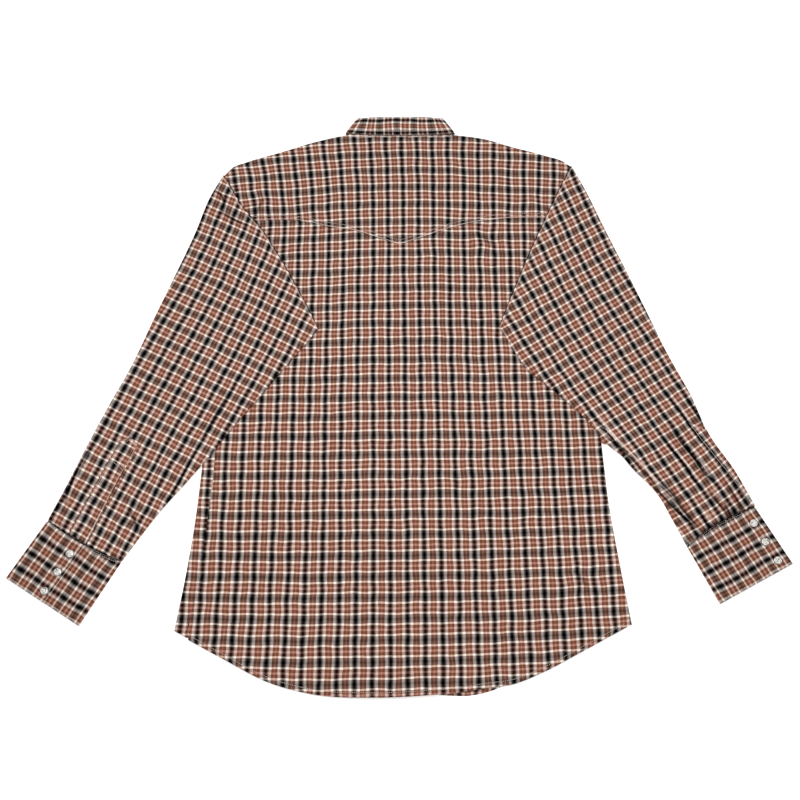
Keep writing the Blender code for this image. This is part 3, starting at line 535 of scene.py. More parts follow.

# Some carry a shade painted along their line.
backCreases = (
    crease(4, -0.5, (-60, -18), (-10, -22), (40, -17), (90, -21), take=0.6),
    crease(5, 0.7, (-250, -150), (-240, -190), (-246, -236), take=1),
    crease(5, 1.1, (104, 230), (118, 219), (131, 207), lean=0.4, take=2, paintedShade=0.4, line=2.4),
    crease(5, 0.9, (-196, 206), (-182, 196), (-176, 182), lean=0.3, take=1.5),
    crease(5, 0.8, (222, -250), (232, -262), (240, -276), lean=0.3, take=1.5, paintedShade=0.4, line=2.4),
)
# On the hidden fronts, raised towards the inside
frontCreases = (
    crease(5, 1.0, (-196, 120), (-150, 90), (-96, 84)),
    crease(7, 0.9, (-230, -60), (-180, -84), (-118, -80), (-70, -100)),
    crease(6, 0.8, (-120, 40), (-104, -30), (-112, -120)),
    crease(5, 1.0, (-214, -210), (-160, -226), (-104, -262)),
    crease(7, 0.9, (60, 60), (74, -20), (66, -110), (84, -190)),
    crease(4.5, 1.1, (210, 110), (168, 76), (120, 70)),
    crease(6, 0.9, (236, -120), (190, -150), (136, -150)),
    crease(8, 0.8, (180, -230), (130, -262), (92, -330)),
    crease(6, 0.7, (-170, 240), (-130, 214), (-96, 170)),
    crease(5, 0.8, (176, 236), (142, 200), (130, 160)),
)
# The first carries a shade painted along its line.
yokeCreases = (
    crease(5.0, -1.3, (-206, 246), (-202, 260), (-196, 277), (-190, 290), lean=0.3, take=0.8, slide=-2.5,
           paintedShade=0.35),
    crease(3.4, 1.3, (-199, 244), (-193, 262), (-186, 280), take=0.4),
    crease(3.0, -0.8, (-190, 252), (-184, 264), (-178, 276)),
    crease(5, 0.7, (-214, 300), (-200, 306), (-184, 306), take=1),
    crease(7, 0.6, (-150, 262), (-146, 290), (-150, 322), slide=1.5),
    crease(8, 0.5, (-96, 262), (-84, 290), (-82, 330), slide=-1.5),
    crease(5, -0.7, (206, 262), (194, 276), (184, 298), take=1),
    crease(7, 0.5, (120, 300), (96, 318), (70, 326), take=1),
)


def collarLift(x, y):
    # The fronts rise over the collar leaf that lies under them.
    return body["collarLift"] * ease(y, *body["frontCollarY"]) * ease(np.abs(x), *body["frontCollarX"])


def frontUnder(x, y, rise):
    # Higher of the lift over the collar and the rise over the placket.
    return np.maximum(collarLift(x, y), rise * ease(np.abs(x), *body["frontRiseX"]))


def uncovered(x, y, fadeOver=25):
    # 1 on the open back, 0 where a sleeve lies.
    side = np.interp(y, body["coverY"], body["coverX"])
    return ease(np.abs(x), side, side - fadeOver)


def backTop(x, y):
    # Flat body, plus the rise over the front opening and over the collar, plus soft folds.
    ridge = ease(np.abs(x), *body["backRiseX"]) * ease(y, *body["backRiseY"])
    collar = ease(y, *body["backCollarY"]) * ease(np.abs(x), *body["backCollarX"])
    folds = uncovered(x, y) * foldHeight(body["folds"], x, y)
    return body["thick"] + body["backRise"] * ridge + body["collarRise"] * collar + folds


def sideLip(y):
    # How far the edge of the back stands in from the outline: little above the underarm, more below.
    wide = ease(y, body["underarm"], body["lipFull"])
    return body["edgeLip"] + (body["sideLip"] - body["edgeLip"]) * wide


def plaidPlace(table, x, y, half):
    # Where points of the laid cloth are in the uncut plaid: the place itself plus a shift, a parabola
    # through the left, middle and right values across and a smooth curve down the levels.
    shifts = spline(table, y)
    return stacked(x + parabola(shifts[..., 0:3], x / half), y + parabola(shifts[..., 3:6], x / half))


def foldArc(radius):
    # The fold's sines and cosines, and the lengths along its half circle.
    sine, cosine = halfTurn(body["foldSteps"])
    return sine, cosine, radius * np.pi * np.arange(1, body["foldSteps"]) / body["foldSteps"]


def keptCells(points, rows, column):
    # All but the cells beyond this column in the first rows, along the armhole.
    keep = np.ones((len(points) - 1, points.shape[1] - 1), bool)
    keep[:rows, column:] = False
    return keep


def backPanel():
    # From under the yoke to the hem, on straight lines between both sides and between seam and hem;
    # rows run from the left side seam round the right fold, a half circle, and a little under.
    columns = np.linspace(*body["backColumns"])
    across = (columns - columns[0]) / (columns[-1] - columns[0])
    seam = spline(body["yokeSeam"], columns) + body["yokeLap"]
    leftY = stretches((seam[0], body["underarm"], body["leftSide"][-1][0]), body["backRows"])
    rightY = stretches((seam[-1], body["underarm"], body["rightSide"][-1][0]), body["backRows"])
    leftDown = (leftY - leftY[0]) / (leftY[-1] - leftY[0])
    rightDown = (rightY - rightY[0]) / (rightY[-1] - rightY[0])
    down = leftDown[:, None] + (rightDown - leftDown)[:, None] * across
    radius = body["thick"] / 2
    left = spline(body["leftSide"], leftY) + sideLip(leftY) + 0.05
    right = spline(body["rightSide"], rightY) - radius
    x = left[:, None] + (right - left)[:, None] * across
    hem = spline(body["backHem"], x[-1])
    hem[[0, -1]] = leftY[-1], rightY[-1]
    y = seam + (hem - seam) * down
    relief, shift, shade = creaseField(backCreases, x, y)
    turnedUp = body["hemRise"] * ease(y - hem, body["hemWidth"] + 1, body["hemWidth"])
    z = backTop(x, y) + (relief + turnedUp) * ease(across, 1, 0.97)
    sine, cosine, arc = foldArc(radius)
    right, level = right[:, None], rightY[:, None]
    tuckX = right - np.array([0.0, 2.7, 5.4, body["sideTuck"]])
    points = beside(stacked(x, y, z), stacked(right + radius * sine, level, radius + radius * cosine),
                    stacked(tuckX, level, 0.0))
    flatX = beside(x + shift[..., 0], right + arc, right + radius * np.pi + right - tuckX)
    flatY = beside(y + shift[..., 1], level + 0 * arc, level + 0 * tuckX)
    mapping = withShade(plaidPlace(body["backPlaid"], flatX, flatY, body["plaidHalf"]), shade)
    keep = keptCells(points, body["backRows"][0], len(columns) - 1)
    return addCloth("shirt_back_panel", points, mapping, body["wall"], keep=keep, flip=True)


def frontPanel(name, side):
    # From the edge at the opening to the side, on straight lines between neck and hem; the left one
    # wraps round a half circle up onto the back, where its plaid follows the back's.
    sides, rise = body[sideName(side) + "Side"], body[sideName(side) + "Rise"]
    radius = body["thick"] / 2
    armRows = body["frontRows"][0]
    armTop = body["flapY"][0 if side < 0 else -1]
    outerY = stretches((armTop, body["underarm"], sides[-1][0]), body["frontRows"])
    outerY[-1] += 1.0
    outer = spline(sides, outerY) - side * radius
    if side > 0:
        outer[armRows:] -= body["sideTuck"] + 0.3
    edge = -side * body["placketEdge"]
    columns = stretches((-body["placketEdge"], body["neckSide"], body["armColumn"]), body["frontColumns"])
    across = np.append((side * columns - edge) / (outer[0] - edge), 1.0)
    across = across / across[-1]
    x = edge + (outer - edge)[:, None] * across
    flap = np.interp(x[0], body["flapX"], body["flapY"]) - 0.3
    top = np.where(np.abs(x[0]) > body["neckSide"] - 0.3, flap, spline(body["frontNeck"], np.abs(x[0])))
    hem = spline(body["frontHem"], x[-1])
    hem[-1] = outerY[-1]
    down = (outerY - outerY[0]) / (outerY[-1] - outerY[0])
    y = top + (hem - top) * down[:, None]
    relief, _, _ = creaseField(frontCreases, x, y)
    points = stacked(x, y, frontUnder(x, y, rise) + relief * ease(down, 1, 0.96)[:, None])
    if side > 0:
        mapping = plaidPlace(body["frontPlaid"], x, y, body["plaidHalf"])
        return addCloth(name, points, mapping, body["wall"])
    sine, cosine, arc = foldArc(radius)
    fold, level = outer[:, None], y[:, -1:]
    turn = stacked(fold - radius * sine, level, radius - radius * cosine)
    seam = (outer - radius + sideLip(outerY))[:, None]
    share = np.linspace(0, 1, 6)
    wrapX = fold + (seam - fold) * share
    hemRise = spline(body["backHem"], wrapX) - spline(body["backHem"], outer - radius)[:, None]
    wrapY = level + hemRise * ease(down, 0.8, 1)[:, None]
    wrap = stacked(wrapX, wrapY, body["thick"] + foldHeight(body["folds"], wrapX, wrapY) * share)
    points = beside(points, turn, wrap)
    own = plaidPlace(body["frontPlaid"], beside(x, fold - arc[:5]), beside(y, level + 0 * arc[:5]),
                     body["plaidHalf"])
    onBack = plaidPlace(body["backPlaid"], beside(fold - (arc[-1] - arc[4:]) - radius / 2, wrapX),
                        beside(level + 0 * arc[4:], wrapY), body["plaidHalf"])
    mapping = beside(own, onBack + spline(body["stripPlaid"], y[:, -1])[:, None])
    return addCloth(name, points, mapping, body["wall"], keep=keptCells(points, armRows, len(across) - 1),
                    flip=True, seam=len(across) + 4)


def frontPlacket():
    # The band on the edge of the left front, under it: level, from hem to neck.
    x = np.linspace(body["placketEdge"] - body["placketWidth"], body["placketEdge"], 14)
    hem = spline(body["frontHem"], x)
    neck = spline(body["frontNeck"], np.abs(x)) - 0.3
    y = hem + (neck - hem) * np.linspace(1, 0, 150)[:, None]
    points = stacked(x, y, body["placketRise"])
    return addCloth("shirt_front_placket", points, stacked(x + 9, y + 3), body["placketWall"])


def yokeEdge(fromSeam):
    # Raised over the turned-in edge, pressed down at the seam itself.
    return body["edgeRaised"] * (ease(fromSeam, 9, 7) - 1.6 * ease(fromSeam, 1.2, 0))


def yokeShade(x, y, seamY, shade):
    # A painted shadow line under the edge and a painted highlight on it, which fades out to the left, and
    # at the neck, under the leaf's edge, a lighter line waved by two sines.
    light = body["leftLight"] + body["rightLight"] * ease(x, -150, -100)
    shade = shade + body["edgeShadow"] * ease(y - seamY, 0.5, 0.1) - light * bell(y - seamY, 1.1, 0.65)
    wavy = y - body["neckLine"] - 0.8 * np.sin(x / 3.3) * np.sin(x / 7.9)
    underLeaf = ease(np.abs(x), 74, 68) * (0.7 + 0.3 * np.sin(x / 2.1) * np.sin(x / 5.3))
    return shade - underLeaf * bell(wavy, 0, 1.4)


def backYoke():
    # From its seam on the back up over the shoulders, round a half circle, and a little way down the
    # fronts; the columns between the ends of the neck stop at the neck seam.
    ends = body["yokeEnds"]
    seamX = stretches(ends, body["yokeColumns"])
    topX = np.interp(seamX, ends, body["flapX"])
    atNeck = np.abs(topX) < body["neckSide"] - 0.3
    seamY = spline(body["yokeSeam"], seamX)
    shoulder = spline(body["shoulders"], topX)
    low = collarLift(topX, shoulder)
    high = backTop(topX, shoulder) + body["lap"]
    radius = np.where(atNeck, 0, (high - low) / 2)
    endY = np.where(atNeck, body["backNeck"], shoulder - radius)
    up = np.concatenate([body["yokeSeamRows"], *(np.linspace(*rows) for rows in body["yokeRows"])])[:, None]
    x = seamX + (topX - seamX) * up
    y = seamY + (endY - seamY) * up
    relief, shift, shade = creaseField(yokeCreases, x, y)
    z = backTop(x, y) + body["lap"] + relief * uncovered(x, y, 40) + yokeEdge(y - seamY)
    sine, cosine = halfTurn(body["foldSteps"])
    turn = stacked(topX, endY + radius * sine[:, None], (high + low) / 2 + radius * cosine[:, None])
    lowY = shoulder - body["flapStart"]
    flapY = lowY + (np.interp(topX, body["flapX"], body["flapY"]) - lowY) * np.linspace(0, 1, 10)[:, None]
    flapX = np.broadcast_to(topX, flapY.shape)
    points = np.concatenate([stacked(x, y, z), turn, stacked(flapX, flapY, collarLift(flapX, flapY))])
    arc = radius * np.pi * np.arange(1, body["foldSteps"])[:, None] / body["foldSteps"]
    over = endY + radius * np.pi
    flatX = np.concatenate([x + shift[..., 0], turn[..., 0], flapX])
    flatY = np.concatenate([y + shift[..., 1], endY + arc, over + (lowY - flapY)])
    keep = np.ones((len(points) - 1, len(seamX) - 1), bool)
    keep[len(up) - 1:, atNeck[:-1] | atNeck[1:]] = False
    mapping = plaidPlace(body["yokePlaid"], flatX, flatY, body["yokeHalf"])
    mapping = withShade(mapping, yokeShade(x, y, seamY, shade))
    return addCloth("shirt_back_yoke", points, mapping, body["wall"], keep=keep)


back = backPanel()
yoke = backYoke()
frontLeft = frontPanel("shirt_front_left", -1)
frontRight = frontPanel("shirt_front_right", 1)
placket = frontPlacket()
print("body made")


# Sleeves with their plackets and cuffs

sleeves = {
    "wall": 0.6, "fall": (35.0, 85.0), "pillow": 0.7, "liftAcross": (0.55, 0.15), "margin": 0.07,
    "armholeRoll": 0.005, "cuffRoll": 0.010, "yokeY": (160, 205), "seamThick": 2.0, "cuffThick": 1.9,
    # Painted shadow at both seams and a painted highlight along the armhole
    "seamShade": 0.75, "seamLight": 0.45, "foldSteps": 6,
    "rows": (7, 190, 8), "topColumns": 172, "underColumns": 40,
    "leftHead": 5.0,            # how far the left sleeve's top is drawn in at the armhole
    "chin": 4.8,                # how far the right sleeve's inner fold stands out at the opening
    # Place along, outer fold x and y, inner fold x and y, bow, thickness at the folds, puff, lift
    "left": ((0.00, -250, 320, -111, 84, 6.5, 2.6, 0.0, 0), (0.07, -267, 286, -128, 61, 6.0, 2.9, 0.6, 0),
             (0.18, -286, 229, -156, 26, 4.0, 3.4, 1.4, 0), (0.31, -312, 163, -188, -16, 2.0, 3.6, 1.8, 0),
             (0.44, -338, 96, -221, -57, 0.0, 3.6, 2.0, 0), (0.57, -363, 30, -250.6, -98, 0.0, 3.6, 2.0, 0),
             (0.69, -391, -30, -281.8, -137.4, 0.0, 3.6, 2.0, 0),
             (0.80, -415, -85, -311, -173, -1.0, 3.6, 1.8, 0),
             (0.90, -436, -136, -335, -206, -2.0, 3.6, 1.4, 0),
             (1.00, -458, -186, -358, -240, -4.0, 3.4, 1.0, 0)),
    "right": ((0.00, 243, 335, 135, 88, 3.5, 2.6, 0.0, 0), (0.07, 259, 301, 148, 63, 3.0, 2.9, 0.6, 0),
              (0.18, 282, 244, 170, 26, 2.0, 3.4, 1.4, 0), (0.31, 310, 179, 208, -9, 1.0, 3.6, 1.8, 0),
              (0.44, 336.6, 112.4, 245, -45, 0.0, 3.6, 2.0, 0),
              (0.57, 362.4, 46.8, 272, -80, 0.0, 3.6, 2.0, 0.5),
              (0.69, 389.6, -13.7, 307, -118, 0.0, 3.6, 2.0, 1.5),
              (0.80, 410.4, -70.8, 336, -150, 1.0, 3.6, 2.0, 1.5),
              (0.90, 438.6, -117.6, 354.2, -186, 3.0, 3.6, 1.8, 1.5),
              (1.00, 462, -167, 370.2, -221, 6.0, 3.4, 1.4, 1.5)),
    "leftFolds": ((-300, 150, -352, -20, 16, 0.8),),
    "rightFolds": (),
    # Direction of the columns' steps in degrees; place along the sleeve, then the shift of the columns
    # and of the rows at the outer fold, middle and inner fold
    "leftTurn": -26.0, "rightTurn": 29.0,
    "leftPlaid": ((0, 37, 28.3, 18.3, -10.5, -9.5, -5.6), (0.18, 22.2, 19.3, 17.5, -9.8, -9.5, -6.9),
                  (0.44, 21.6, 15.4, 18.7, -11.5, -9.5, -8.4), (0.69, 18.9, 15.9, 18.4, -11.7, -10.9, -8.3),
                  (0.9, 16.7, 13.8, 17.3, -16.2, -13, -10), (1, 15.5, 13.5, 15.7, -17, -14.5, -11)),
    "rightPlaid": ((0, -16, -3.5, 6.7, 15.5, 15.3, 12.5), (0.18, -0.9, 4.6, 5.1, 17.2, 14.9, 12.1),
                   (0.44, 5.9, 6.6, 0.8, 20.3, 16.4, 14.8), (0.69, 7.1, 0.9, -7.3, 21.5, 19.8, 19.5),
                   (0.9, -2.5, -6, -9, 30, 23.8, 23.5), (1, -3, -7.5, -12.2, 31.9, 27.1, 26.5)),
}

# Deep grooves carry a shade painted along their line, and two raised ones a painted highlight.
leftCreases = (
    crease(3.2, -1.2, (-220, 3), (-240, -32), (-254, -60), (-264, -80), take=0.4),
    crease(2.3, -2.6, (-258, -68), (-275, -103), (-284, -123), (-293, -141), (-303, -160), lean=0.3,
           take=0.6),
    crease(3.0, 1.2, (-250, -62), (-268, -98), (-278, -120), (-290, -143), paintedShade=-0.3, line=1.3),
    crease(5.0, 0.9, (-300, -80), (-312, -104), (-320, -124), (-328, -146), take=1),
    crease(2.6, -1.7, (-417, -97), (-429, -128), (-437, -164), lean=0.3, take=0.5),
    crease(3.0, 0.9, (-409, -92), (-413, -97), (-425, -128), (-433, -162), (-436, -170), paintedShade=-0.5,
           line=1.1),
    crease(2.2, -2.0, (-252, 263), (-242, 255), (-230, 247), (-214, 239), lean=-0.3, take=0.5),
    crease(3.0, 0.9, (-254, 270), (-240, 261), (-224, 252)),
    crease(2.6, -1.5, (-263, 296), (-254, 288), (-248, 277), (-249, 264), take=0.5),
    crease(5.0, -0.8, (-250, 182), (-232, 176), (-208, 166), take=1),
    crease(2.4, -1.3, (-352, -172), (-344, -186), (-338, -204), take=0.4),
    crease(2.4, 1.1, (-372, -176), (-366, -196), (-362, -214), take=0.4),
)
# Most grooves carry a shade painted along their line, the raised ones a painted highlight.
rightCreases = (
    crease(2.0, -2.6, (355, -50), (365, -69), (373, -82), (379, -90), (388, -103), (392, -110),
           (399, -123), (407, -131), (412, -138), lean=0.3, take=0.6, paintedShade=0.85, line=1.5),
    crease(2.0, 2.0, (388, -98), (395, -107), (402, -120), (411, -131), paintedShade=-0.7, line=1.6),
    crease(2.0, -2.2, (341, -61), (353, -80), (359, -90), (369, -103), (379, -118), (383, -128),
           (392, -140), (400, -149), take=0.5, paintedShade=0.8, line=1.7),
    crease(1.9, 1.6, (357, -84), (365, -94), (374, -106), (383, -119), (390, -133), paintedShade=-0.6, line=1.6),
    crease(1.8, -2.4, (358, -14), (362, -20), (370, -31), (376, -41), (382, -51), (388, -61), (395, -73),
           (399, -80), lean=-0.4, take=0.6, paintedShade=0.85, line=1.7),
    crease(2.2, 1.3, (365, -18), (374, -30), (380, -41), (387, -52), paintedShade=-0.6, line=1.6),
    crease(1.9, -1.8, (380, -12), (384, -20), (390, -31), (398, -47), (404, -59), (410, -71), (415, -85),
           (421, -96), (427, -110), take=0.4, paintedShade=0.72, line=1.7),
    crease(2.4, 1.0, (397, -36), (404, -50), (411, -64), (417, -80), paintedShade=-0.4, line=1.6),
    crease(2.0, -2.2, (332, -120), (346, -138), (357, -152), (365, -167), (373, -179), (380, -188),
           (384, -194), take=0.5, paintedShade=0.8, line=1.7),
    crease(2.4, 1.9, (336, -137), (350, -153), (360, -166), (369, -179), (377, -190), paintedShade=-0.65,
           line=1.7),
    crease(2.1, -2.4, (324, -134), (328, -138), (345, -155), (360, -173), (372, -184), (381, -193),
           (386, -197), take=0.6, paintedShade=0.85, line=1.5),
    crease(2.5, -1.2, (306, -114), (319, -130), (333, -144), (350, -156), take=0.5, paintedShade=0.35),
    crease(2.2, 1.3, (250, -52), (268, -65), (282, -78), (297, -92), paintedShade=-0.45, line=1.7),
    crease(2.1, -2.4, (270, -71), (286, -83), (297, -91), (309, -100), take=0.5),
    crease(2.1, 1.4, (296, -91), (311, -105), (324, -117), paintedShade=-0.4, line=1.7),
    crease(2.0, -1.5, (400, -146), (410, -158), (420, -170), (428, -182), paintedShade=0.6, line=1.7),
    crease(2.2, 1.2, (404, -142), (414, -154), (424, -168), paintedShade=-0.45, line=1.6),
    crease(2.0, -1.4, (424, -132), (434, -150), (443, -168), (449, -180), paintedShade=0.6, line=1.7),
    crease(2.0, -1.4, (384, -168), (392, -180), (400, -198), (404, -206), paintedShade=0.65, line=1.5),
    crease(2.0, 1.2, (394, -170), (402, -182), (409, -198), paintedShade=-0.5, line=1.7),
    crease(1.9, -1.3, (420, -158), (426, -172), (432, -190), paintedShade=0.6, line=1.7),
    crease(2.2, 1.4, (254, -30), (257, -34), (272, -55), (286, -75), (309, -102), (331, -127),
           (348, -145), (363, -164), paintedShade=-0.8, line=1.6),
    crease(2.0, -1.6, (250, -33), (254, -37), (269, -58), (283, -78), (306, -105), (328, -130),
           (345, -148), paintedShade=0.7, line=1.6),
    crease(2.0, 1.2, (260, -52), (272, -62), (285, -76), (292, -82), paintedShade=-0.75, line=1.5),
    crease(4.0, -0.9, (262, 232), (246, 224), (226, 214), take=1),
    crease(6.0, -0.7, (300, 60), (278, 48), (252, 40), take=1),
)
sleeveCreases = {"left": leftCreases, "right": rightCreases}
# On the undersides of both sleeves, for the right one
underCreases = (
    crease(4, 1.2, (250, 40), (272, -10), (300, -62), (318, -96)),
    crease(6, 0.9, (300, 90), (322, 34), (346, -30)),
    crease(3.5, 1.3, (352, -60), (380, -112), (402, -160)),
    crease(3, 1.2, (330, -110), (352, -146), (374, -182)),
    crease(4, 1.0, (392, -60), (414, -104), (432, -144)),
    crease(7, 0.9, (226, 190), (250, 160), (262, 120)),
    crease(5, 0.8, (196, 70), (222, 44), (240, 6)),
)


def sleeveRest(x, y, side):
    # What a sleeve lies on: the body, then the surface further out.
    outside = side * (x - spline(body[sideName(side) + "Side"], y))
    high = body["thick"] + 0.3 + 1.3 * ease(y, *sleeves["yokeY"])
    return high * ease(outside, sleeves["fall"][1], sleeves["fall"][0])


def seamShade(side, along, across, shade):
    # Painted shadow at the armhole and, unevenly by products of sines, at the cuff; a painted highlight
    # line at the armhole.
    uneven = 0.62 + 0.38 * np.sin(across * 67 + 1.3) * np.sin(across * 29 + side)
    reach = 0.006 + 0.018 * np.maximum(0, np.sin(across * 31 + 2) * np.sin(across * 13 + side))
    atSeam = np.maximum(ease(along, 0.0035, 0.001), uneven * ease(along, 1 - reach, 0.998))
    shade = shade - sleeves["seamLight"] * bell(along, 0.0066, 0.0022)
    return np.where(atSeam > 0.02, np.maximum(shade, sleeves["seamShade"] * atSeam), shade)


def sleeveSection(side, along, across):
    # Plan of a sleeve, the height of its underside and its thickness: a bowed line between the folds,
    # a pillow (4s(1-s))^0.7 on it, closed by a quarter circle at the armhole and at the cuff. The left
    # sleeve's head is drawn in by a bell, the right one's inner fold stands out by one and in by another.
    name = sideName(side)
    along, across = np.broadcast_arrays(along, across)
    values = spline(sleeves[name], along)
    outer, inner = values[..., 0:2], values[..., 2:4]
    bow, edge, puff, lift = (values[..., k] for k in range(4, 8))
    span = inner - outer
    width = np.linalg.norm(span, axis=-1)
    direction = span / width[..., None]
    upwards = -side * np.stack([-direction[..., 1], direction[..., 0]], -1)
    place = edge / 2 + across * (width - edge)
    sag = bow * (1 - (2 * across - 1) ** 2)
    if side < 0:
        sag = sag - sleeves["leftHead"] * ease(along, 0.1, 0) * bell(across, 0.2, 0.13)
    plan = outer + direction * place[..., None] + upwards * sag[..., None]
    if side > 0:
        chin = sleeves["chin"] * (bell(along, 0.557, 0.013) - 0.5 * bell(along, 0.635, 0.03))
        chin = chin * ease(across, 0.9, 1)
        plan = plan + chin[..., None] * direction
    x, y = plan[..., 0], plan[..., 1]
    pillow = (4 * across * (1 - across)) ** sleeves["pillow"]
    margin = sleeves["margin"]
    quiet = ease(along, 1, 1 - margin / 2) * ease(along, 0, margin)
    quiet = quiet * ease(across, 0, margin) * ease(across, 1, 1 - margin)
    relief, shift, shade = creaseField(sleeveCreases[name], x, y)
    thick = edge + puff * pillow + quiet * (foldHeight(sleeves[name + "Folds"], x, y) + relief)
    start = np.clip(along / sleeves["armholeRoll"], 0, 1)
    end = np.clip((1 - along) / sleeves["cuffRoll"], 0, 1)
    thick = sleeves["seamThick"] + (thick - sleeves["seamThick"]) * np.sqrt(1 - (1 - start) ** 2)
    thick = sleeves["cuffThick"] + (thick - sleeves["cuffThick"]) * np.sqrt(1 - (1 - end) ** 2)
    rest = sleeveRest(x, y, side) + lift * ease(across, *sleeves["liftAcross"])
    # It also gives the plaid's shift and the shade painted on its creases and seams.
    return x, y, rest, thick, shift, seamShade(side, along, across, shade)


def sleevePlaid(side, x, y, along, across):
    # The laid place turned to the sleeve's own grain, plus the charted shift: a parabola across and a
    # smooth curve along.
    turn = np.radians(sleeves[sideName(side) + "Turn"])
    shifts = spline(sleeves[sideName(side) + "Plaid"], along)
    s = 2 * np.clip(across, 0, 1) - 1
    column = x * np.cos(turn) + y * np.sin(turn)
    row = -side * (-x * np.sin(turn) + y * np.cos(turn))
    return stacked(column + parabola(shifts[..., 0:3], s), row + parabola(shifts[..., 3:6], s))


def foldDirection(side, along):
    # Unit vectors from the outer fold to the inner one.
    values = spline(sleeves[sideName(side)], along)
    return unit(values[:, 2:4] - values[:, 0:2])


def halfCircle(start, end, outward):
    # A half circle between two rows of points that lie above each other.
    sine, cosine = halfTurn(sleeves["foldSteps"])
    middle = (start + end) / 2
    radius = (start - end)[:, 2:3] / 2
    x = middle[:, 0:1] + np.abs(radius) * sine * outward[:, 0:1]
    y = middle[:, 1:2] + np.abs(radius) * sine * outward[:, 1:2]
    return stacked(x, y, middle[:, 2:3] + radius * cosine)


def sleeve(name, side):
    # A flattened tube: the top, the inner fold, the underside and the outer fold. In the plaid the
    # underside goes on beyond the outer fold, mirrored about it; the seam is at the inner fold.
    along = stretches((0, 0.012, 0.988, 1), sleeves["rows"])[:, None]
    across = np.linspace(0, 1, sleeves["topColumns"])
    under = np.linspace(1, 0, sleeves["underColumns"])
    x, y, rest, thick, shift, shade = sleeveSection(side, along, across)
    top = stacked(x, y, rest + thick)
    topMap = sleevePlaid(side, x + shift[..., 0], y + shift[..., 1], along, across[None])
    x, y, rest, _, _, _ = sleeveSection(side, along, under)
    relief, _, _ = creaseField(underCreases, side * x, y)
    bottom = stacked(x, y, rest + relief * np.sin(np.pi * np.linspace(0, 1, len(under))) ** 0.5)
    outward = foldDirection(side, along[:, 0])
    edge = top[:, 0, :2]
    run = np.gradient(edge, axis=0)
    square = unit(np.stack([run[:, 1], -run[:, 0]], -1))
    square = (square * np.sign((square * outward).sum(axis=1, keepdims=True)))[:, None]
    steps = sleeves["foldSteps"]
    halfRound = np.pi * (top[:, 0, 2] - bottom[:, -1, 2])[:, None, None] / 2
    foldPlan = edge[:, None] - halfRound * (np.arange(steps - 1, 0, -1) / steps)[:, None] * square
    depth = ((bottom[..., :2] - edge[:, None]) * square).sum(axis=-1, keepdims=True)
    plan = beside(bottom[..., :2] - (2 * depth + halfRound) * square, foldPlan, edge[:, None])
    underMap = sleevePlaid(side, plan[..., 0], plan[..., 1], along, np.zeros(plan.shape[1])[None])
    turnMap = topMap[:, -1:] + (topMap[:, -1:] - topMap[:, -2:-1]) * np.arange(1, steps + 1)[:, None] * 0.4
    points = beside(top, halfCircle(top[:, -1], bottom[:, 0], outward), bottom,
                    halfCircle(bottom[:, -1], top[:, 0], -outward))
    mapping = withShade(beside(topMap, turnMap, underMap), shade)
    return addCloth(name, points, mapping, sleeves["wall"], ring=True, flip=side < 0,
                    seam=top.shape[1] + steps - 1)


sleeveLeft = sleeve("shirt_sleeve_left", -1)
sleeveRight = sleeve("shirt_sleeve_right", 1)
print("sleeves made")


# Plackets on the sleeves' openings and the cuffs

openings = {
    "lap": 0.75, "wall": 0.45, "rows": 64, "columns": 24, "tuck": 0.03,
    # Place along the sleeve, then both edges across it, from the outer fold at 0 to the inner at 1;
    # edges below 0 lie under the sleeve
    "left": ((0.703, 0.335, 0.43), (0.730, 0.272, 0.455), (0.79, 0.278, 0.470), (0.86, 0.284, 0.492),
             (0.93, 0.294, 0.520), (0.996, 0.303, 0.548)),
    "right": ((0.730, 0.0, 0.172), (0.757, -0.06, 0.148), (0.815, -0.09, 0.108), (0.88, -0.115, 0.092),
              (0.95, -0.14, 0.055), (0.996, -0.15, 0.03)),
    "rightSlant": 0.30,         # of its top edge: place along by place across
    # Painted shadow along the last column, painted highlights on the third last column and the second
    # row, then painted highlights on the left one's two edges
    "edgeShadow": 0.75, "edgeLight": -0.55, "endLight": -0.5, "highLight": -0.35, "rimLight": -0.12,
    "leftOffset": (4.6, -4.2), "rightOffset": (-1.5, 0.8),     # of its plaid from the sleeve's
}

cuffs = {
    # The cuffs' shade is painted: each is darkened evenly by its own share.
    "wall": 0.9, "top": 4.6, "middle": 3.0, "gap": 0.5, "leftShade": 0.045, "rightShade": 0.03,
    "foldSteps": 8, "rows": 44, "columns": 56, "drawn": 0.45,      # by this much at its seams
    "leftEnd": ((-504.2, -261.1), (-406.5, -322.8)), "rightEnd": ((504.2, -242.2), (406.4, -294.7)),
    "leftOverlap": (60.0, 28.0), "rightOverlap": (2.0, 35.0),
    "leftSnaps": ((-424.5, -230.0), (-438.2, -253.9), (-453.1, -278.4)),
    "rightSnaps": ((457.6, -189.5), (470.6, -214.2), (484.5, -238.7)),
    # Its black stripes: share of the width from the outer fold, then how far from the seam one runs and
    # the distance to the next
    "leftStripes": ((0.0, 20.8, 24.0), (0.54, 20.8, 24.0), (0.68, 22.5, 23.1), (0.89, 25.2, 22.1),
                    (1.0, 26.0, 21.8)),
    "rightStripes": ((0.0, 20.3, 23.3), (0.26, 23.5, 21.9), (0.48, 24.4, 21.8), (0.68, 23.3, 22.5),
                     (0.9, 20.1, 23.1), (1.0, 18.5, 23.5)),
    # Its rows: place in the repeat at the upper end, the repeat there, place at the lower end, the repeat
    "leftRows": (0.605, 25.8, 11.549, 24.6), "rightRows": (0.481, 24.07, 12.0, 24.0),
}


def onSleeve(side, along, across, lap):
    # Points this far above a sleeve's top or, if below 0, under its underside.
    x, y, rest, thick, _, _ = sleeveSection(side, along, across)
    return stacked(x, y, rest + thick + lap if lap > 0 else rest + lap)


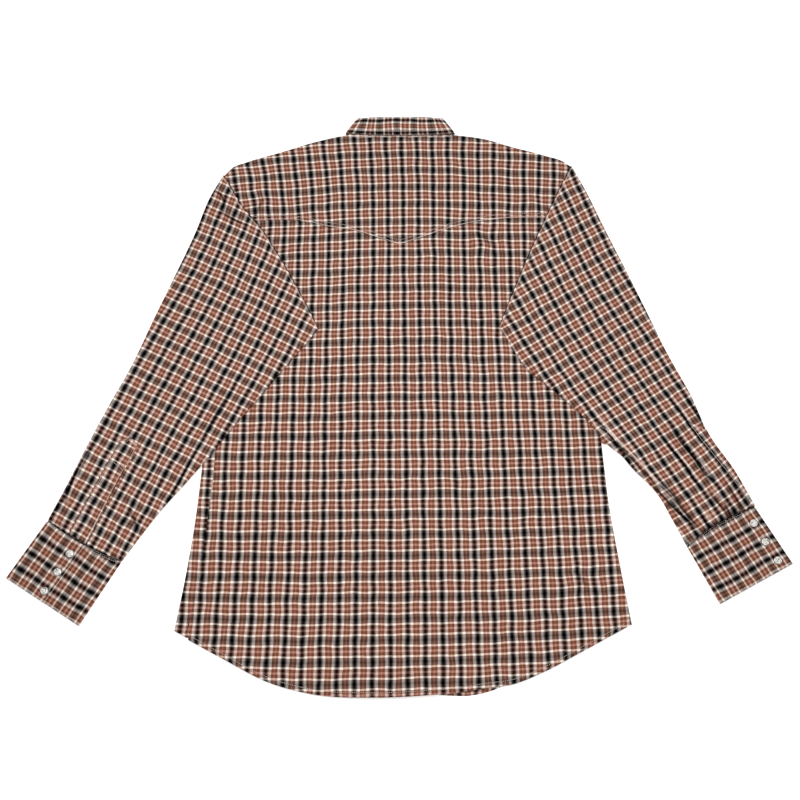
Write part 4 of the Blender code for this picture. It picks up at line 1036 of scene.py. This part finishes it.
def towerPlacket(name, side):
    # A strip with a pointed end; its points are the sleeve's own, moved out. Past the outer fold it
    # follows the half circle round and lies under the sleeve.
    table = np.array(openings[sideName(side)])
    first, last = table[0, 0], table[-1, 0]
    along = np.linspace(first, last, openings["rows"])
    inside, edge = (np.interp(along, table[:, 0], table[:, k]) for k in (1, 2))
    start = np.maximum(inside, 0.0)
    across = start[:, None] + (edge - start)[:, None] * np.linspace(0, 1, openings["columns"])
    lap = openings["lap"]
    slant = openings["rightSlant"] * (last - along) / (last - first) * (side > 0)
    place = along[:, None] + slant[:, None] * (edge[:, None] - across)
    top = onSleeve(side, place, across, lap)
    mapping = sleevePlaid(side, top[..., 0], top[..., 1], place, across)
    mapping = mapping + np.array(openings[sideName(side) + "Offset"])
    # Painted shadow along the free edge, lower down on the left one, painted highlights beside it and on
    # the second row; the left one also gets painted highlights on its upper edge and first column.
    low = ease(along, 0.77, 0.79) if side < 0 else np.ones(len(along))
    shade = np.zeros(mapping.shape[:2])
    shade[:, -1], shade[:, -3] = openings["edgeShadow"] * low, openings["edgeLight"] * low
    shade[1] = openings["endLight"]
    if inside.min() >= 0:
        shade[:, -2] += openings["highLight"] * (1 - low)
        shade[:, 1] = openings["rimLight"]
        return addCloth(name, top, withShade(mapping, shade), openings["wall"], flip=side < 0)
    along = place[:, 0]
    below = onSleeve(side, along, np.zeros(len(along)), -lap)
    fold = halfCircle(below, top[:, 0], -foldDirection(side, along))
    hidden = np.maximum(-inside, openings["tuck"])[:, None] * np.array([1.0, 0.66, 0.33])
    points = beside(onSleeve(side, along[:, None], hidden, -lap), below[:, None], fold, top)
    beyond = points.shape[1] - top.shape[1]
    step = np.linalg.norm(np.diff(points[:, :beyond + 1], axis=1), axis=-1)
    distance = np.cumsum(step[:, ::-1], axis=1)[:, ::-1]
    before = mapping[:, :1] - distance[..., None] * np.array([1.0, 0.0])
    mapping = beside(withShade(before, np.zeros((1, 1))), withShade(mapping, shade))
    return addCloth(name, points, mapping, openings["wall"], flip=side < 0)


def cuffFrame(side, down):
    # Outer and inner corners of the laid cuff at each place down it, its seam's bow and its thickness
    # there.
    seamEnds = sleeves[sideName(side)][-1]
    outerStart, innerStart = np.array(seamEnds[1:3], float), np.array(seamEnds[3:5], float)
    outerEnd, innerEnd = np.array(cuffs[sideName(side) + "End"], float)
    shift = cuffs["gap"] * (outerEnd - outerStart) / np.linalg.norm(outerEnd - outerStart)
    outer = outerStart + shift + (outerEnd - outerStart - shift) * down
    inner = innerStart + shift + (innerEnd - innerStart - shift) * down
    return outer, inner, seamEnds[5], seamEnds[6]


def cuffPhase(run, rows, fold, lastFold):
    # Repeats of the plaid along the band: even ones from the upper end to the fold, others from the
    # lower end to the last fold, and between the folds a straight line that joins them.
    start, startRepeat, end, endRepeat = rows
    phase = start + run / startRepeat
    ending = end + (run - run[:, -1:]) / endRepeat
    fold, lastFold = slice(fold, fold + 1), slice(lastFold, lastFold + 1)
    inside = (run - run[:, fold]) / (run[:, lastFold] - run[:, fold])
    between = phase[:, fold] + (ending[:, lastFold] - phase[:, fold]) * inside
    return np.where(inside < 0, phase, np.where(inside > 1, ending, between))


def cuffPlan(side, down, place):
    # Plan of the point at this distance from the outer fold, bowed at the seam and straight at the end.
    outer, inner, bow, edge = cuffFrame(side, down)
    span = inner - outer
    width = np.linalg.norm(span, axis=1, keepdims=True)
    direction = span / width
    upwards = -side * np.stack([-direction[:, 1], direction[:, 0]], -1)
    across = np.clip((place - edge / 2) / (width - edge), 0, 1)
    sag = bow * (1 - (2 * across - 1) ** 2) * (1 - down)
    return outer[:, None] + direction[:, None] * place[..., None] + upwards[:, None] * sag[..., None]


def cuff(name, side):
    # A band rolled flat: the end of the upper layer, the fold, the layer below, the other fold and the
    # end of the lower layer. Its edges are drawn in where they are sewn.
    down = np.linspace(0, 1, cuffs["rows"])[:, None]
    outer, inner, _, _ = cuffFrame(side, down)
    width = np.linalg.norm(inner - outer, axis=1, keepdims=True)
    upper, lower = (np.full_like(width, end) for end in cuffs[sideName(side) + "Overlap"])
    if side > 0:
        upper, lower = width - upper, width - lower
    topRadius, lowRadius = cuffs["top"] / 2, cuffs["middle"] / 2
    sine, cosine = halfTurn(cuffs["foldSteps"])
    flat = np.linspace(0, 1, cuffs["columns"])
    place = beside(upper + (topRadius - upper) * flat, topRadius - topRadius * sine + 0 * width,
                   topRadius + (width - lowRadius - topRadius) * flat, width - lowRadius + lowRadius * sine,
                   width - lowRadius + (lower - width + lowRadius) * flat)
    height = np.concatenate([cuffs["top"] + 0 * flat, topRadius + topRadius * cosine, 0 * flat,
                             lowRadius - lowRadius * cosine, cuffs["middle"] + 0 * flat])
    height = np.broadcast_to(height, place.shape)
    length = np.linalg.norm(outer[-1] - outer[0])
    fromEdge = np.minimum(down, 1 - down) * length
    drawn = cuffs["drawn"] * (ease(fromEdge, 2.5, 0.0) + 0.5 * bell(fromEdge, 4.5, 1.1))
    height = height - drawn * (height > cuffs["middle"] - 0.1)
    run = beside(np.zeros((len(down), 1)), np.cumsum(np.hypot(
        np.diff(place, axis=1), np.diff(height, axis=1)), axis=1))
    stripes = np.array(cuffs[sideName(side) + "Stripes"])
    share = (width - place if side > 0 else place) / width
    first, repeat = (np.interp(share, stripes[:, 0], stripes[:, k]) for k in (1, 2))
    column = (0.5 + (down * length - first) / repeat) * plaid["columns"]
    fold = cuffs["columns"] + len(sine) - 1
    phase = cuffPhase(run, cuffs[sideName(side) + "Rows"], fold, fold + 1 + cuffs["columns"])
    if side > 0:
        place = width - place
    points = np.concatenate([cuffPlan(side, down, place), height[..., None]], axis=-1)
    # An even painted shade darkens the whole cuff.
    shade = np.full(place.shape, cuffs[sideName(side) + "Shade"])
    return addCloth(name, points, withShade(stacked(column, phase * plaid["rows"]), shade), cuffs["wall"])


towerLeft = towerPlacket("shirt_sleeve_placket_left", -1)
towerRight = towerPlacket("shirt_sleeve_placket_right", 1)
cuffLeft = cuff("shirt_cuff_left", -1)
cuffRight = cuff("shirt_cuff_right", 1)
print("plackets and cuffs made")


# Collar

collar = {
    "wall": 0.9, "foldTop": 7.4, "foldUnder": 1.8, "roll": 1.8,
    "leafTurn": 3.35, "seamMiddle": 3.25, "seamTurn": 1.95, "bow": 1.2, "edgePress": 0.25,
    # The edge shade is a painted shadow along the leaf's outer edge.
    "rollColumns": 12, "leafColumns": 22, "standColumns": 8, "endRows": 6, "edgeShade": 0.6,
    "standPass": 11.0, "standEnd": (332.6, 310.3), "standOut": 0.5,
    "overLift": 1.3, "overRows": (14, 8),   # how the stand's right end rises over the left
    # Half of it from the middle of the back to the front: fold, outer edge and neck seam in plan, turn
    # in degrees from the back to under the front, top of the stand from the fold, length of the leaf's
    # inner lip, angle at which its roll begins
    "half": ((0, 412.9, 0, 383.5, 0, 386.6, 0, 2.7, 4, -90),
             (15, 412.9, 15, 383.5, 15, 386.6, 0, 2.7, 4, -90),
             (30, 412.8, 31, 383.7, 30, 386.7, 0, 2.7, 4, -90),
             (43, 412.4, 46, 384.1, 45, 386.8, 0, 2.7, 1.5, -90),
             (52, 411.4, 60, 384.9, 58, 386.9, 0, 2.8, 0, -40),
             (56, 410.2, 74.0, 386.0, 71.0, 386.4, 30, 2.3, 0, -25),
             (57.4, 409.6, 75.4, 386.1, 72.4, 386.4, 60, 2.3, 0, -25),
             (58, 409.2, 76.0, 386.1, 73.0, 386.4, 90, 2.3, 0, -25),
             (58, 408.8, 76.0, 386.0, 73.0, 386.2, 120, 2.3, 0, -25),
             (57.6, 408.0, 76.4, 385.6, 73.4, 385.6, 150, 2.3, 0, -25),
             (57, 405.0, 80, 380.0, 74.9, 380.0, 180, 2.9, 0, -55),
             (52, 382.0, 87, 350.0, 74.9, 356.1, 180, 2.9, 0.5, -90),
             (38, 359.0, 84, 316.0, 65.6, 339.4, 180, 2.7, 4, -90),
             (24, 347.0, 70, 291.0, 44.7, 320.0, 180, 6.5, 2, -90),
             (13, 341.5, 59, 276.0, 29.0, 314.1, 180, 6.5, 2, -90),
             (4, 339.0, 50, 266.0, 19.9, 310.6, 180, 6.5, 2, -90)),
    "sampleStep": 4,        # finer rows made in each stretch of the half
    "stripeFromEdge": 3.6, "stripeWave": 2.2, "stripeRepeat": 18.2, "rowStart": 16.9, "rowRepeat": 24.4,
    "waveMiddle": -4, "waveWidth": 26,
}


def finerRows(rows, parts):
    # Straight lines between the rows, each cut in equal parts.
    rows = np.array(rows, float)
    at = np.linspace(0, len(rows) - 1, (len(rows) - 1) * parts + 1)
    return np.stack([np.interp(at, np.arange(len(rows)), rows[:, k]) for k in range(rows.shape[1])], axis=1)


def collarRows(side):
    # Fold, outer edge and neck seam in space: each turns about its own middle by the row's turn.
    coarse = np.array(collar["half"], float)
    sideRow = np.argmin(np.abs(coarse[:, 6] - 90))
    down = coarse[sideRow, 2:4] - coarse[sideRow, 0:2]
    sideways = unit(np.array([-down[1], down[0]]))
    rows = finerRows(coarse, collar["sampleStep"])
    turn = np.radians(rows[:, 6])
    sine, cosine = np.sin(turn)[:, None], np.cos(turn)[:, None]
    foldRadius = (collar["foldTop"] - collar["foldUnder"]) / 2

    def place(plan, middle, radius):
        # A point of the plan turned about its middle height at this radius.
        return np.hstack([plan + radius * sine * sideways, middle + radius * cosine])

    fold = place(rows[:, 0:2], collar["foldUnder"] + foldRadius, foldRadius)
    edge = place(rows[:, 2:4], collar["leafTurn"], collar["leafTurn"])
    seam = place(rows[:, 4:6], collar["seamMiddle"], collar["seamTurn"])
    face = np.hstack([sine * sideways, cosine])
    mirror = np.array([side, 1, 1])
    return fold * mirror, edge * mirror, seam * mirror, face * mirror, turn, rows[:, 7:]


def rollAxes(fold, seam, face):
    # Unit vectors from the fold down the stand, and square to it towards the outer face.
    down = unit(seam - fold)
    return down, unit(face - (face * down).sum(axis=1, keepdims=True) * down)


def bothHalves(makeHalf):
    # The left half from front to back, then the right one from back to front, with one middle row.
    left, right = makeHalf(-1), makeHalf(1)
    return np.concatenate([left[:0:-1], right], axis=0)


def leafHalf(side):
    # The inner lip, the roll round the fold and the leaf, bowed a little, down to its edge.
    fold, edge, seam, face, turn, inner = collarRows(side)
    down, out = rollAxes(fold, seam, face)
    lip, start = inner[:, 1:2], inner[:, 2:3]
    columns = []
    for share in np.linspace(0, 1, collar["rollColumns"]):
        angle = np.radians(start + (90 - start) * share)
        columns.append(fold + collar["roll"] * ((1 - np.cos(angle)) * down + np.sin(angle) * out))
    columns[0] = columns[0] + lip * down
    above = columns[-1]
    bow = collar["bow"] * (1 + np.cos(turn))[:, None] / 2
    for share in np.linspace(0, 1, collar["leafColumns"])[1:]:
        rounded = bow * (1 - (2 * share - 1) ** 4) - collar["edgePress"] * bell(share, 1, 0.03)
        columns.append(above + (edge - above) * share + rounded * out)
    return np.stack(columns, axis=1)


def standHalf(side):
    # The stand from its top inside the fold down to the neck seam; the right end lies over the left.
    fold, _, seam, face, _, inner = collarRows(side)
    down, out = rollAxes(fold, seam, face)
    top = fold + inner[:, 0:1] * down + collar["standOut"] * out
    end = np.array([[-side * collar["standPass"], level, body["placketRise"]]
                    for level in collar["standEnd"]])
    share = np.linspace(0, 1, collar["endRows"])[1:, None]
    top = np.vstack([top, top[-1] + (end[0] - top[-1]) * share])
    seam = np.vstack([seam, seam[-1] + (end[1] - seam[-1]) * share])
    if side > 0:
        first, last = (len(top) - rows for rows in collar["overRows"])
        over = collar["overLift"] * ease(np.arange(len(top)), first, last)
        top[:, 2] += over
        seam[:, 2] += over
    shares = np.linspace(0, 1, collar["standColumns"])
    return np.stack([top + (seam - top) * share for share in shares], axis=1)


def collarMap(points):
    # Distance across from the outer edge for the columns, length along the band for the rows.
    across = np.linalg.norm(np.diff(points, axis=1), axis=-1)
    fromStart = beside(np.zeros((len(points), 1)), np.cumsum(across, axis=1))
    column = fromStart[:, -1:] - fromStart
    run = lengthAlong(points.mean(axis=1))
    run -= run[len(run) // 2]
    row = (run + collar["rowStart"])[:, None] * plaid["rows"] / collar["rowRepeat"]
    wave = collar["stripeWave"] * bell(run, collar["waveMiddle"], collar["waveWidth"])
    rise = wave[:, None] * ease(column, 2, 12)
    column = (0.5 + (column - collar["stripeFromEdge"] - rise) / collar["stripeRepeat"]) * plaid["columns"]
    return stacked(column, row)


leafPoints = bothHalves(leafHalf)
standPoints = bothHalves(standHalf)
# A painted shadow along the leaf's outer edge, its last column.
leafShade = np.zeros(leafPoints.shape[:2])
leafShade[:, -1] = collar["edgeShade"]
leafMap = withShade(collarMap(leafPoints), leafShade)
leaf = addCloth("shirt_collar_leaf", leafPoints, leafMap, collar["wall"])
stand = addCloth("shirt_collar_stand", standPoints, collarMap(standPoints), collar["wall"])
print("collar made")


# Snaps: a pearl cap held in a nickel ring

snaps = {
    "radius": 5.6, "sides": 40, "collar": 322.0, "frontHeight": 1.0, "cuffHeight": 1.8,
    "front": (262.0, -87.0, 7),         # first one's level, step and number
    # Shares of the radius and of the height, from the back round the ring to the edge of the pearl
    "ring": ((0.70, 0.0), (0.92, 0.0), (0.985, 0.12), (1.0, 0.28), (0.995, 0.44), (0.965, 0.58),
             (0.92, 0.64), (0.885, 0.60), (0.87, 0.52)),
    "pearlEdge": 0.868, "pearlSteps": 9,
}


def lathe(profile, sides, centre, height, facing):
    # A profile of (radius, height) turned about the vertical through centre.
    turn = 2 * np.pi * np.arange(sides) / sides
    radius, level = profile[:, 0:1] * snaps["radius"], profile[:, 1:2] * height * facing
    points = np.stack([radius * np.cos(turn), radius * np.sin(turn), level + 0 * turn], axis=-1)
    return points + np.array(centre)


def snap(name, centre, height, facing):
    # The ring's profile, then a quarter of an ellipse for the pearl.
    ring = np.array(snaps["ring"])
    angle = np.linspace(np.pi / 2, 0.04, snaps["pearlSteps"])
    pearlProfile = np.stack([snaps["pearlEdge"] * np.sin(angle), 0.52 + 0.48 * np.cos(angle)], axis=1)
    profile = np.concatenate([ring, pearlProfile], axis=0)
    points = lathe(profile, snaps["sides"], centre, height, facing)
    faces, _ = gridFaces(len(profile), snaps["sides"], None, True, facing < 0, None)
    piece = addMesh(name, points, faces, metal)
    piece.data.materials.append(pearl)
    cells = np.repeat(np.arange(len(profile) - 1) >= len(ring), snaps["sides"]).astype(np.int32)
    piece.data.polygons.foreach_set("material_index", cells)
    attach(piece, "root")
    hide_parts(name.replace("shirt_", ""))


def addSnaps():
    # The front's at even steps, facing down; the collar's above them; each cuff's on its upper layer.
    start, step, count = snaps["front"]
    low, high = snaps["frontHeight"], snaps["cuffHeight"]
    for k in range(count):
        snap(f"shirt_snap_front_{k + 1}", (0.0, start + step * k, low), low, -1)
    snap("shirt_snap_collar", (0.0, snaps["collar"], low), low, -1)
    for side in ("left", "right"):
        for k, (x, y) in enumerate(cuffs[side + "Snaps"]):
            snap(f"shirt_snap_cuff_{side}_{k + 1}", (x, y, cuffs["top"] + 0.1), high, 1)


addSnaps()
print("snaps made")


# Stitching

seams = {
    "topstitch": 1.6, "second": 6.4,    # from an edge
    "hem": 6.0, "placketEdge": 5.0, "collarEdge": 6.2, "cuffEdge": 2.4, "points": 900,
    # From and to, across each cuff at its seam and at its end
    "leftCuff": ((4, 110), (4, 111)), "rightCuff": ((4, 103), (4, 106)),
    # Rows on the sleeve's plackets, through points of (place along, place across)
    "leftTower": (((0.99, 0.318), (0.93, 0.309), (0.86, 0.299), (0.79, 0.292), (0.738, 0.288),
                   (0.711, 0.345), (0.711, 0.425), (0.730, 0.442), (0.79, 0.457), (0.86, 0.478),
                   (0.93, 0.506), (0.99, 0.532)),
                  ((0.775, 0.292), (0.775, 0.453)), ((0.782, 0.293), (0.782, 0.455))),
    "rightTower": (((0.775, 0.02), (0.745, 0.155), (0.762, 0.134), (0.815, 0.095), (0.88, 0.079),
                    (0.95, 0.042), (0.985, 0.022)),),
}


def yokeTop(x, y, seamY):
    # The yoke's surface: the back's, one lap up, with its creases and its edge.
    relief, _, _ = creaseField(yokeCreases, x, y)
    return backTop(x, y) + body["lap"] + relief * uncovered(x, y, 40) + yokeEdge(y - seamY)


def yokePath(offset):
    # This far above the yoke's seam.
    x = np.linspace(-228, 226, seams["points"])
    seamY = spline(body["yokeSeam"], x)
    return stacked(x, seamY + offset, yokeTop(x, seamY + offset, seamY)), (0, 0, 1)


def hemPath():
    # A hem's width above the back's lower edge.
    x = np.linspace(-262, 283, seams["points"])
    y = spline(body["backHem"], x) + seams["hem"]
    relief, _, _ = creaseField(backCreases, x, y)
    return stacked(x, y, backTop(x, y) + relief + body["hemRise"]), (0, 0, 1)


def placketPath(x):
    # Down the band at this place across it, on its underside.
    x = np.full(seams["points"], x)
    low = spline(body["frontHem"], x) + 3
    y = low + (spline(body["frontNeck"], np.abs(x)) - 4 - low) * np.linspace(0, 1, len(x))
    return stacked(x, y, body["placketRise"] - 0.02), (0, 0, -1)


def cuffPath(side, fromSeam, start, end):
    # Across the cuff this far from its seam, or from its end if below 0.
    outer, _, _, _ = cuffFrame(side, np.zeros((1, 1)))
    outerEnd, _, _, _ = cuffFrame(side, np.ones((1, 1)))
    length = np.linalg.norm(outerEnd - outer)
    down = (fromSeam if fromSeam > 0 else length + fromSeam) / length
    place = (start + (end - start) * np.linspace(0, 1, 400))[None]
    plan = cuffPlan(side, np.full((1, 1), down), place)[0]
    return stacked(plan[:, 0], plan[:, 1], cuffs["top"] - 0.12), (0, 0, 1)


def cuffPaths(side):
    # One row along its seam and one along its end.
    atSeam, atEnd = seams[sideName(side) + "Cuff"]
    return [cuffPath(side, seams["cuffEdge"], *atSeam), cuffPath(side, -seams["cuffEdge"], *atEnd)]


def cuffEndPath(place, start, end):
    # Down the left cuff at this distance from its outer fold.
    plan = cuffPlan(-1, np.linspace(start, end, 200)[:, None], np.full((200, 1), place))[:, 0]
    return stacked(plan[:, 0], plan[:, 1], cuffs["top"]), (0, 0, 1)


def towerPath(side, route):
    # Straight lines through the route's points on the strip's top.
    route = np.array(route, float)
    steps = np.linspace(0, len(route) - 1, 60 * len(route))
    along, across = (np.interp(steps, np.arange(len(route)), route[:, k]) for k in (0, 1))
    return onSleeve(side, along, across, openings["lap"]), (0, 0, 1)


def collarPath(points, inset):
    # On every row, the point this far in from the last column.
    turned = points[:, ::-1]
    step = np.linalg.norm(np.diff(turned, axis=1), axis=-1)
    run = beside(np.zeros((len(points), 1)), np.cumsum(step, axis=1))
    k = (run < inset).sum(axis=1) - 1
    rows = np.arange(len(points))
    share = ((inset - run[rows, k]) / (run[rows, k + 1] - run[rows, k]))[:, None]
    ahead = turned[rows, k + 1] - turned[rows, k]
    place = turned[rows, k] + ahead * share
    outward = unit(np.cross(np.gradient(place, axis=0), ahead))
    return place[3:-3], -outward[3:-3]


yokeStitches = sew("shirt_stitches_yoke", [yokePath(seams["topstitch"]), yokePath(seams["second"])])
backStitches = sew("shirt_stitches_back", [hemPath()])
placketStitches = sew("shirt_stitches_placket", [placketPath(body["placketEdge"] - seams["placketEdge"]),
                      placketPath(body["placketEdge"] - body["placketWidth"] + seams["placketEdge"])])
leafStitches = sew("shirt_stitches_collar", [collarPath(leafPoints, seams["collarEdge"])])
cuffEnd = cuffEndPath(cuffs["leftOverlap"][0] - seams["topstitch"] - 1, 0.03, 0.97)
cuffStitches = [sew("shirt_stitches_cuff_left", cuffPaths(-1) + [cuffEnd]),
                sew("shirt_stitches_cuff_right", cuffPaths(1))]
towerStitches = [sew("shirt_stitches_sleeve_" + sideName(side), [
    towerPath(side, route) for route in seams[sideName(side) + "Tower"]]) for side in (-1, 1)]
print("stitches made")

# Floor, light and camera

stage = {
    "camera": (-0.00027, -0.65951, 1.76272), "tilt": 20.0, "lens": 62.995, "sensor": 36.0,
    "floor": 6.0, "sky": 0.50,
    "key": (10.4, 0.55, (-0.1, 0.03, 1.35)), "fill": (9.0, 2.0, (1.2, -0.8, 2.0)),  # power, size and place
}


def addLight(name, power, size, place):
    # A square lamp turned to the origin: tilted by its angle from the vertical, then turned about it.
    light = bpy.data.lights.new(name, "AREA")
    light.shape = "RECTANGLE"
    light.size, light.size_y = size, size
    light.energy = power
    lamp = bpy.data.objects.new(name, light)
    bpy.context.scene.collection.objects.link(lamp)
    x, y, z = place
    lamp.location = place
    lamp.rotation_euler = (np.arctan2(np.hypot(x, y), z), 0.0, np.arctan2(x, -y))


def addStage():
    # The floor, the sky, two lamps and the camera.
    half = stage["floor"] / 2
    mesh = bpy.data.meshes.new("floor")
    corners = [(-half, -half, 0), (half, -half, 0), (half, half, 0), (-half, half, 0)]
    mesh.from_pydata(corners, [], [(0, 1, 2, 3)])
    mesh.materials.append(paleFloor())
    floor = bpy.data.objects.new("floor", mesh)
    bpy.context.scene.collection.objects.link(floor)
    world = bpy.data.worlds.new("studio")
    world.use_nodes = True
    sky = world.node_tree.nodes["Background"].inputs
    sky["Color"].default_value = (1.0, 1.0, 1.0, 1.0)
    sky["Strength"].default_value = stage["sky"]
    bpy.context.scene.world = world
    addLight("keyLight", *stage["key"])
    addLight("fillLight", *stage["fill"])
    camera = bpy.data.cameras.new("camera")
    camera.sensor_width = stage["sensor"]
    camera.lens = stage["lens"]
    view = bpy.data.objects.new("camera", camera)
    view.location = stage["camera"]
    view.rotation_euler = (np.radians(stage["tilt"]), 0.0, 0.0)
    bpy.context.scene.collection.objects.link(view)
    bpy.context.scene.camera = view
    bpy.context.scene.view_settings.view_transform = "Standard"


addStage()
print("stage made")
